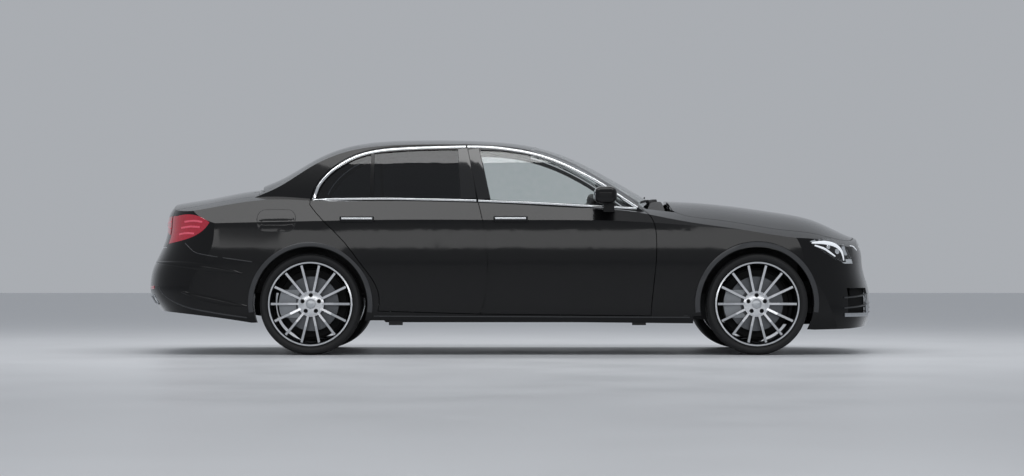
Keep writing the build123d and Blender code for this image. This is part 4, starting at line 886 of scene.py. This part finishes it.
def bar(path, deep, tall):
    """A moulded bar with round edges along a level path."""
    rings = []
    for k, p in enumerate(path):
        along = (path[min(k + 1, len(path) - 1)] - path[max(k - 1, 0)]).normalized()
        side = along.cross(UP).normalized()
        ring = []
        for i in range(BAR_SIDES):
            a = 2 * math.pi * (i + 0.5) / BAR_SIDES
            u, v = math.cos(a), math.sin(a)
            grow = 1.0 / max(abs(u), abs(v)) ** BAR_SQUARENESS
            ring.append(p + side * (u * grow * deep / 2) + UP * (v * grow * tall / 2))
        rings.append(ring)
    return tube(rings)


def rod(line, radius, sides=10, taper=1.0):
    """A round bar along a line of points, slimmer towards its end."""
    rings = []
    for k, p in enumerate(line):
        here = radius * (1 + (taper - 1) * k / (len(line) - 1))
        along = (line[min(k + 1, len(line) - 1)] - line[max(k - 1, 0)]).normalized()
        first = along.orthogonal().normalized()
        second = along.cross(first)
        rings.append([p + (first * math.cos(2 * math.pi * i / sides)
                           + second * math.sin(2 * math.pi * i / sides)) * here for i in range(sides)])
    return tube(rings)


def bumper_line(low, high, z, inset, count=14, end_z=None):
    """A path across an opening of the front bumper, a little behind its skin."""
    fall = (z if end_z is None else end_z) - z
    tree = skin("front_bumper")
    line = []
    for i in range(count + 1):
        y = low + (high - low) * i / count
        spot, _ = landed(tree, Vector((0, y, BUMPER_PROBE_Z)), AHEAD)
        line.append(Vector((spot.x + BUMPER_SWELL - inset, y, z + fall * i / count)))
    return line


def beside(sign, walls):
    """Blocks between (x, y, z) corners, on one side of the car."""
    return [brick(*[(x, sign * y, z) for x, y, z in corners]) for corners in walls]


def build_front_openings():
    """Slats, inserts and ducts in the bumper's three openings."""
    slats, inserts, ducts = [], [], []
    for side in SIDES.values():
        low, high = side * INTAKE_Y[0], side * INTAKE_Y[1]
        for z, outer_z in INTAKE_SLATS:
            slats.append(bar(bumper_line(low, high, z, SLAT_INSET, end_z=outer_z), 0.018, 0.010))
        inserts.append(bar(bumper_line(low, high, INSERT_Z, INSERT_INSET), 0.022, 0.026))
        foot = bumper_line(low, low + side * 0.001, INSERT_Z, INSERT_INSET, 1)[0]
        upright = [foot + Vector((-0.006, side * 0.004, 0.130)) * (i / 6) for i in range(7)]
        inserts.append(rod(upright, 0.013, taper=0.35))
        ducts += beside(side, CORNER_DUCT + (CENTRE_WALL,))
    ducts += beside(1.0, CENTRE_DUCT)
    centre = bar(bumper_line(-CENTRE_HALF, CENTRE_HALF, CENTRE_SLAT_Z, SLAT_INSET), 0.016, 0.007)
    # All slats take the pale grey of painted highlight, for the light that black slats catch
    rows = repeated(meshed("slat", *centre), painted_sheen, Count=3, Step=(0.0, 0.0, CENTRE_SLAT_STEP))
    slats = merged("intake_slats", meshed("slats", *joined(slats)), rows)
    placed("intake_slats", slats, painted_sheen, "body")
    fitted("intake_inserts", joined(inserts), satin_silver, "body")
    fitted("intake_ducts", joined(ducts), polypropylene, "body")


# Grille: heights of the slats that carry bright strips, their half lengths, and half of the frame as (y, z)
GRILLE_SLATS = ((0.532, 0.355), (0.584, 0.395), (0.632, 0.395), (0.684, 0.360))
GRILLE_FRAME = [(0.0, 0.717), (0.18, 0.717), (0.30, 0.716), (0.357, 0.712), (0.385, 0.672), (0.417, 0.607),
                (0.384, 0.548), (0.350, 0.503), (0.28, 0.500), (0.14, 0.500), (0.0, 0.500)]


def build_grille_trim():
    """Bright strips on the grille's slats and round its frame."""
    grille = skin("grille")
    strips = []
    for z, half in GRILLE_SLATS:
        spots = [landed(grille, Vector((0, half * (i / 8 - 1), z)), AHEAD)[0] for i in range(17)]
        strips.append(bar([spot for spot in spots if spot is not None], 0.008, 0.006))
    fitted("grille_strips", joined(strips), satin_silver, "body")
    loop = GRILLE_FRAME + [(-y, z) for y, z in reversed(GRILLE_FRAME[:-1])]
    shape = band(skin("grille", "front_bumper"), end_path(loop), AHEAD, 0.010, 0.005)
    fitted("grille_frame", shape, chrome, "body")


def build_tail_lamps(side):
    """Paler light guides in each tail lamp."""
    out = Vector((-0.35, SIDES[side], 0)).normalized()
    tree = skin("tail_lamps", side=SIDES[side])
    for number, points in enumerate(TAIL_BARS):
        path = [Vector((x, SIDES[side] * 0.8, z)) for x, z in points]
        shape = band(tree, path, out, 0.012, 0.0022, power=2.0)
        fitted(f"tail_guide_{number}_{side}", shape, red_guide, "body")


for lamp_side in SIDES:
    build_front_lamps(lamp_side)
    build_tail_lamps(lamp_side)


build_front_openings()
build_grille_trim()

# Tail details as (y, z): lid lamp, its guides, two corners of the exhaust trim, reflector and lid strip
LID_LAMP = [(0.628, 0.915), (0.50, 0.908), (0.40, 0.885), (0.375, 0.858), (0.42, 0.832), (0.628, 0.792)]
LID_GUIDES = ([(0.615, 0.880), (0.52, 0.878), (0.43, 0.866)], [(0.615, 0.836), (0.53, 0.844), (0.45, 0.850)])
EXHAUST_TRIM = (0.400, 0.334, 0.600, 0.392)
REFLECTOR = [(0.44, 0.440), (0.51, 0.442), (0.58, 0.445)]
LID_STRIP = [(-0.36, 0.862), (-0.18, 0.866), (0.0, 0.868), (0.18, 0.866), (0.36, 0.862)]


def build_tail():
    """Lid lamps and bright strip on the lid; exhaust trims and reflectors on the bumper."""
    back = -AHEAD
    lid, bumper = skin("boot_lid"), skin("rear_bumper", "tail_panel")
    fitted("lid_strip", band(lid, end_path(LID_STRIP), back, 0.014, 0.005), chrome, "boot")
    for side, out in SIDES.items():
        shape = patch(lid, [(out * y, z) for y, z in LID_LAMP], "YZ", back, 0.003)
        fitted(f"lid_lamp_{side}", shape, red_acrylic, "boot")
        guides = [band(lid, end_path(line, out), back, 0.012, 0.006, power=2.0) for line in LID_GUIDES]
        fitted(f"lid_guides_{side}", joined(guides), red_guide, "boot")
        y0, z0, y1, z1 = EXHAUST_TRIM
        outline = rounded(min(out * y0, out * y1), z0, max(out * y0, out * y1), z1, 0.02)
        shape = patch(bumper, outline, "YZ", back, 0.0015)
        fitted(f"exhaust_mouth_{side}", shape, seal_rubber, "body")
        shape = band(bumper, end_path(outline + outline[:1]), back, 0.012, 0.008, step=0.012)
        fitted(f"exhaust_trim_{side}", shape, satin_silver, "body")
        path = [Vector((-2.2, out * y, z)) for y, z in REFLECTOR]
        shape = band(bumper, path, Vector((-1, out * 0.35, 0)).normalized(), 0.020, 0.003)
        fitted(f"reflector_{side}", shape, red_acrylic, "body")


build_tail()

# Lines of the lower side as (x, z): the rear bumper's seam, ledge, crease and lower trim, and the sill line
BUMPER_SEAM = [(-2.150, 0.737), (-2.112, 0.700), (-2.072, 0.673), (-1.990, 0.655), (-1.904, 0.642),
               (-1.700, 0.613)]
BUMPER_LEDGE = [(-2.365, 0.610), (-2.309, 0.606), (-2.180, 0.598), (-2.056, 0.583), (-1.900, 0.560),
                (-1.762, 0.536)]
BUMPER_CREASE = [(-2.170, 0.416), (-2.040, 0.380), (-1.909, 0.350), (-1.800, 0.330), (-1.735, 0.320)]
BUMPER_TRIM = [(-2.339, 0.459), (-2.309, 0.407), (-2.233, 0.353), (-2.104, 0.306), (-1.897, 0.268),
               (-1.735, 0.246)]
SILL_LINE = [(-0.900, 0.256), (-0.400, 0.254), (0.100, 0.252), (0.600, 0.250), (1.180, 0.248)]


def build_lower_lines(side):
    """Seams and moulded creases of the rear bumper, and the line along the sill; the seam, lower trim and
    sill line are pale grey painted highlights.
    """
    out = OUTWARD[side]
    tail = skin("rear_bumper", f"body_side_{side}", side=SIDES[side])
    sill = skin(f"body_side_{side}", f"fender_{side}", f"front_door_{side}", f"rear_door_{side}")
    for name, tree, path, look, slim, wide, proud in (
        ("bumper_seam", tail, BUMPER_SEAM, painted_sheen, 0.005, 0.005, 0.0018),
        ("bumper_ledge", tail, BUMPER_LEDGE, paint, 0.012, 0.048, 0.007),
        ("bumper_crease", tail, BUMPER_CREASE, paint, 0.012, 0.044, 0.007),
        ("bumper_trim", tail, BUMPER_TRIM, painted_sheen, 0.008, 0.010, 0.003),
        ("sill_line", sill, SILL_LINE, painted_sheen, 0.006, 0.006, 0.001),
    ):
        shape = band(tree, side_path(path, side), out, swelling(slim, wide), proud, power=2.0)
        fitted(f"{name}_{side}", shape, look, "body")


for line_side in SIDES:
    build_lower_lines(line_side)


# Seat pads: size of a cell, how near a seam a point is held, and the share of the width where bolsters start
PAD_CELL = 0.018
SEAM_REACH = 0.009
BOLSTER_START = 0.55
# Pressure inside a pad while it swells, and the frames that it swells for
PAD_PRESSURE = 4.0
SWELL_FRAMES = 20


def pad_mesh(name, half, radius, bolster):
    """A closed block with round edges and raised sides, in cells fine enough to swell."""
    work = bmesh.new()
    bmesh.ops.create_cube(work, size=2.0)
    counts = [max(2, round(2 * h / PAD_CELL)) for h in half]
    for axis, count in enumerate(counts):
        edges = [e for e in work.edges if abs(e.verts[0].co[axis] - e.verts[1].co[axis]) > 1e-6]
        bmesh.ops.subdivide_edges(work, edges=edges, cuts=count - 1, use_grid_fill=True)
    for v in work.verts:
        flat = Vector([v.co[i] * half[i] for i in range(3)])
        inner = Vector([max(radius - half[i], min(half[i] - radius, flat[i])) for i in range(3)])
        away = flat - inner
        lift = max(0.0, (abs(v.co.y) - BOLSTER_START) / (1 - BOLSTER_START)) if v.co.z > 0 else 0.0
        v.co = inner + away.normalized() * radius if away.length > 1e-9 else flat
        v.co.z += bolster * lift * lift * (3 - 2 * lift)
    mesh = bpy.data.meshes.new(name)
    for face in work.faces:
        face.smooth = True
    bmesh.ops.recalc_face_normals(work, faces=work.faces)
    work.to_mesh(mesh)
    work.free()
    return mesh


def swollen(mesh, sewn, cap):
    """The pad after a soft inflation that leaves its sewn points where they are."""
    scene = bpy.context.scene
    made = bpy.data.objects.new("pad", mesh)
    scene.collection.objects.link(made)
    made.vertex_groups.new(name="sewn").add(sewn, 1.0, "REPLACE")
    cloth = made.modifiers.new("cloth", "CLOTH")
    cloth.settings.use_pressure = True
    cloth.settings.uniform_pressure_force = PAD_PRESSURE
    cloth.settings.vertex_group_mass = "sewn"
    cloth.settings.effector_weights.gravity = 0.0
    cloth.collision_settings.use_collision = False
    for step in range(1, SWELL_FRAMES + 1):
        scene.frame_set(step)
    grown = made.evaluated_get(bpy.context.evaluated_depsgraph_get()).data
    moves = [w.co - v.co for v, w in zip(mesh.vertices, grown.vertices)]
    made.modifiers.clear()
    bpy.data.objects.remove(made)
    scene.frame_set(1)
    for v, move in zip(mesh.vertices, moves):
        v.co += move * min(1.0, cap / max(move.length, 1e-9))
    return mesh


def sewn_lines(mesh, half, across, along):
    """Points of a pad's upper side that lie on its seams, given as shares of its half sizes."""
    held = []
    for v in mesh.vertices:
        x, y = v.co.x / half[0], abs(v.co.y / half[1])
        if v.co.z <= 0.2 * half[2]:
            continue
        on_channel = any(abs(x - line) * half[0] < SEAM_REACH for line in across)
        on_bolster = any(abs(y - line) * half[1] < SEAM_REACH for line in along)
        if on_bolster or (y < max(along, default=1.0) and on_channel):
            held.append(v.index)
    return held


def padded_piece(name, mesh, place):
    """A finished pad, moved to its place, with one smoothing level."""
    copy = mesh.copy()
    copy.transform(place)
    made = placed(name, copy, leather, "body")
    smooth = made.modifiers.new("smooth", "SUBSURF")
    smooth.levels = smooth.render_levels = 1
    return made


def tilted(x, y, z, degrees):
    """A pad's place, turned about the car's cross axis."""
    return Matrix.Translation((x, y, z)) @ Matrix.Rotation(math.radians(degrees), 4, "Y")


def leaning(x, y, z, degrees):
    """A pad's place: its top side turned to face forward, leaning back by the given angle."""
    return tilted(x, y, z, 90 - degrees)


def pad(name, half, radius, bolster, across, along, cap):
    """A swollen pad from its half sizes, edge radius, bolster height, seams and most swelling."""
    mesh = pad_mesh(name, half, radius, bolster)
    return swollen(mesh, sewn_lines(mesh, half, across, along), cap)


# Seat places in metres: middle of a front seat, the lean of the backs, and the rear places
FRONT_SEAT_Y = 0.39
FRONT_LEAN = 17.0
REAR_SEAT_Y = 0.312
REAR_REST_Y = 0.345
REAR_LEAN = 21.0


def build_seats():
    """Leather seats with sewn channels and bolsters, on plain moulded bases."""
    cushion = pad("front_cushion", (0.205, 0.222, 0.055), 0.042, 0.034, (-0.45, 0.0, 0.45), (0.58,), 0.022)
    back = pad("front_back", (0.285, 0.222, 0.048), 0.04, 0.036, (-0.5, 0.0, 0.5), (0.58,), 0.022)
    rest = pad("head_rest", (0.072, 0.125, 0.036), 0.03, 0.0, (), (0.7,), 0.012)
    bench = pad("rear_cushion", (0.19, 0.292, 0.062), 0.042, 0.012, (-0.4, 0.2), (0.66,), 0.022)
    rear_back = pad("rear_back", (0.225, 0.292, 0.046), 0.04, 0.018, (-0.45, 0.1), (0.66,), 0.022)
    bases = []
    for side, out in SIDES.items():
        y, rear_y, rest_y = out * FRONT_SEAT_Y, out * REAR_SEAT_Y, out * REAR_REST_Y
        seat = padded_piece(f"front_cushion_{side}", cushion, tilted(0.205, y, 0.478, -7))
        padded_piece(f"front_back_{side}", back, leaning(-0.112, y, 0.765, FRONT_LEAN))
        padded_piece(f"front_head_rest_{side}", rest, leaning(-0.225, y, 1.108, FRONT_LEAN - 5))
        last = padded_piece(f"rear_cushion_{side}", bench, tilted(-0.862, rear_y, 0.462, -5))
        padded_piece(f"rear_back_{side}", rear_back, leaning(-1.172, rear_y, 0.742, REAR_LEAN))
        padded_piece(f"rear_head_rest_{side}", rest, leaning(-1.302, rest_y, 1.03, REAR_LEAN))
        bases.append(brick((-0.06, y - 0.19, 0.243), (0.34, y + 0.19, 0.428), 0.03))
        bases.append(brick((-0.80, rear_y - 0.285, 0.243), (-0.69, rear_y + 0.285, 0.412), 0.02))
        for post in (-0.05, 0.05):
            for (x0, z0), (x1, z1), middle in (
                ((-0.205, 1.0), (-0.222, 1.09), y), ((-1.252, 0.93), (-1.297, 1.02), rest_y),
            ):
                bases.append(rod([Vector((x0, middle + post, z0)), Vector((x1, middle + post, z1))], 0.006))
    fitted("seat_bases", joined(bases), cabin_skin, "body")
    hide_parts("front_seats")
    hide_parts("rear_seat")


build_seats()

# Door lining outlines as (x, z), the ends of the arm rests, and how far out the linings stand
CARDS = {
    "front": [(-0.085, 0.350), (-0.085, 0.930), (0.780, 0.930), (0.860, 0.820), (0.860, 0.400),
              (0.800, 0.340)],
    "rear": [(-0.800, 0.420), (-0.880, 0.560), (-0.980, 0.700), (-1.060, 0.930), (-0.260, 0.930),
             (-0.260, 0.360), (-0.740, 0.360)],
}
ARM_RESTS = {"front": (0.02, 0.50), "rear": (-0.86, -0.42)}
DOOR_INSIDE = 0.822


def build_door_linings(end, side):
    """Soft lining with an arm rest and a bright pull on the inside of a door."""
    out = SIDES[side]
    body = door_body(end, side)
    shape = patch(skin(f"{end}_door_{side}"), CARDS[end], "XZ", -OUTWARD[side], 0.006)
    fitted(f"{end}_door_lining_{side}", shape, cabin_skin, body)
    back, front = ARM_RESTS[end]
    shape = brick((back, out * (DOOR_INSIDE - 0.062), 0.610), (front, out * DOOR_INSIDE, 0.672), 0.016)
    fitted(f"{end}_arm_rest_{side}", shape, leather, body)
    line = []
    for i in range(9):
        y = out * (DOOR_INSIDE - 0.014 - 0.010 * math.sin(math.pi * i / 8))
        line.append(Vector((back + 0.20 + 0.02 * i, y, 0.800)))
    fitted(f"{end}_door_pull_{side}", bar(line, 0.009, 0.016), satin_silver, body)


for lining_side in SIDES:
    build_door_linings("front", lining_side)
    build_door_linings("rear", lining_side)


# Height of the dashboard's vents
VENT_Z = 0.800
# Plain cabin pieces: name, finish, a slot name that nothing reads, and blocks as two (x, y, z) corners with a
# bevel
CABIN_BLOCKS = (
    ("dash_screens", acrylic, "black_gloss", (
        ((0.545, -0.165, 0.868), (0.560, 0.165, 0.985), 0.004),
        ((0.545, 0.215, 0.868), (0.560, 0.540, 0.985), 0.004),
    )),
    ("middle_console", cabin_skin, "cabin_trim", (
        ((0.120, -0.110, 0.355), (0.560, 0.110, 0.520), 0.024),
        ((0.500, -0.110, 0.430), (0.660, 0.110, 0.700), 0.030),
        ((-0.260, -0.110, 0.355), (0.130, 0.110, 0.560), 0.028),
        ((0.556, -0.060, 0.880), (0.640, 0.060, 0.940), 0.008),
        ((0.556, 0.320, 0.880), (0.640, 0.440, 0.940), 0.008),
    )),
    ("console_lid", leather, "leather", (((-0.250, -0.105, 0.552), (0.120, 0.105, 0.590), 0.016),)),
    ("console_tray", acrylic, "black_gloss", (((0.180, -0.088, 0.516), (0.520, 0.088, 0.524), 0.003),)),
)


def build_cabin():
    """Carpets, headlining, dashboard displays and vents, and the middle console."""
    floor = skin("floor_pan")
    outlines = [rounded(-0.60, min(y), 0.83, max(y), 0.03) for y in ((-0.735, -0.138), (0.138, 0.735))]
    outlines.append(rounded(-2.25, -0.50, -1.36, 0.50, 0.05))
    carpets = [patch(floor, outline, "XY", UP, 0.006, step=0.08) for outline in outlines]
    fitted("carpets", joined(carpets), carpet, "body")
    roof = patch(skin("roof_panel"), rounded(-1.02, -0.53, 0.14, 0.53, 0.06), "XY", -UP, 0.004, step=0.06)
    fitted("headlining", roof, head_cloth, "body")
    dash = skin("dashboard")
    line = end_path([(y, VENT_Z) for y in (-0.70, -0.35, 0.0, 0.35, 0.70)])
    fitted("dash_strip", band(dash, line, -AHEAD, 0.055, 0.004), acrylic, "body")
    ring = [(0.026, 0.014), (0.031, 0.012), (0.033, 0.004), (0.033, -0.004), (0.024, -0.004), (0.024, 0.010)]
    vents = []
    for y in (-0.62, -0.135, -0.045, 0.045, 0.135, 0.62):
        spot, _ = landed(dash, Vector((0, y, VENT_Z)), -AHEAD)
        place = Matrix.Translation(spot) @ Matrix.Rotation(math.radians(90), 4, "Z")
        vents.append(moved(turned(ring, 32), place))
        for k in (-1, 0, 1):
            blade = [spot + Vector((-0.006, s * 0.022, k * 0.011)) for s in (-1, 0, 1)]
            vents.append(bar(blade, 0.010, 0.0025))
    fitted("dash_vents", joined(vents), satin_silver, "body")
    for name, look, slot_name, blocks in CABIN_BLOCKS:
        fitted(name, joined([brick(*block) for block in blocks]), look, "body")


build_cabin()


# Side panels of the boot as (x, x, y, y, z, z)
BOOT_SIDES = (
    (-1.372, -1.358, 0.540, 0.795, 0.765, 0.955),
    (-2.215, -1.712, 0.648, 0.657, 0.450, 0.935),
    (-1.715, -1.372, 0.648, 0.657, 0.765, 0.935),
)


def build_boot_lining():
    """Carpeted bulkhead behind the rear seat, and the linings on the boot's sides."""
    panels = [brick((-1.372, -0.545, 0.450), (-1.358, 0.545, 0.955), 0.004)]
    for out in SIDES.values():
        for x0, x1, near, far, z0, z1 in BOOT_SIDES:
            panels.append(brick((x0, out * near, z0), (x1, out * far, z1), 0.003))
    fitted("boot_lining", joined(panels), carpet, "body")


build_boot_lining()


def build_engine_bay():
    """A ribbed cover on the drive, and the liner under the hood."""
    low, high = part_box("engine")
    x0, x1, top = low.x + 0.06, high.x - 0.05, high.z
    cover = meshed("cover", *brick((x0, -0.21, top), (x1, 0.21, top + 0.022), 0.010))
    rib = meshed("rib", *brick((x0 + 0.05, -0.160, top + 0.018), (x1 - 0.05, -0.140, top + 0.030), 0.004))
    ribs = repeated(rib, polypropylene, Count=7, Step=(0.0, 0.05, 0.0))
    placed("engine_cover", merged("engine_cover", cover, ribs), polypropylene, "body")
    outline = rounded(1.20, -0.58, 2.14, 0.58, 0.12)
    shape = patch(skin("hood"), outline, "XY", -UP, 0.006, step=0.06)
    fitted("hood_liner", shape, carpet, "hood")


build_engine_bay()


# Half the floor's width; soft boxes as name, place, aim, size in metres and power in watts
FLOOR_REACH = 40
STUDIO_LAMPS = (
    ("near_strip", (0.0, -1.95, 5.2), (0.0, -1.1, 0.6), (8.5, 1.1), 125.0),
    ("far_strip", (0.0, 1.95, 5.2), (0.0, 1.1, 0.6), (8.5, 1.1), 125.0),
    ("near_low", (0.0, -14.0, 2.35), (0.0, 0.0, 0.7), (13.0, 1.0), 120.0),
)


def studio():
    """Pale floor, soft overhead and side light, and the camera of the photograph."""
    scene = bpy.context.scene
    scene.view_settings.view_transform = "Standard"
    floor = bpy.data.meshes.new("floor")
    corners = [(x * FLOOR_REACH, y * FLOOR_REACH, 0) for x, y in ((-1, -1), (1, -1), (1, 1), (-1, 1))]
    floor.from_pydata(corners, [], [(0, 1, 2, 3)])
    floor.materials.append(finish("pale_floor", ("#d3d5d8", "#d8dadd"), (0.35, 0.45), 900.0))
    ground = bpy.data.objects.new("floor", floor)
    scene.collection.objects.link(ground)
    world = bpy.data.worlds.new("studio")
    scene.world = world
    world.use_nodes = True
    back = world.node_tree.nodes["Background"]
    back.inputs["Color"].default_value = linear("#d2d6dc")
    back.inputs["Strength"].default_value = 0.62
    for name, place, aim, size, power in STUDIO_LAMPS:
        lamp = bpy.data.lights.new(name, "AREA")
        lamp.shape = "RECTANGLE"
        lamp.size, lamp.size_y = size
        lamp.energy = power
        made = bpy.data.objects.new(name, lamp)
        made.location = place
        made.rotation_euler = (Vector(aim) - Vector(place)).to_track_quat("-Z", "Y").to_euler()
        made.visible_camera = False
        scene.collection.objects.link(made)
    eye = bpy.data.cameras.new("camera")
    eye.sensor_width = 36.0
    eye.lens = 95.2
    eye.shift_y = 0.0273
    camera = bpy.data.objects.new("camera", eye)
    camera.location = (0.0097, -18.7, 0.586)
    camera.rotation_euler = (math.pi / 2, 0.0, 0.0)
    scene.collection.objects.link(camera)
    scene.camera = camera


studio()
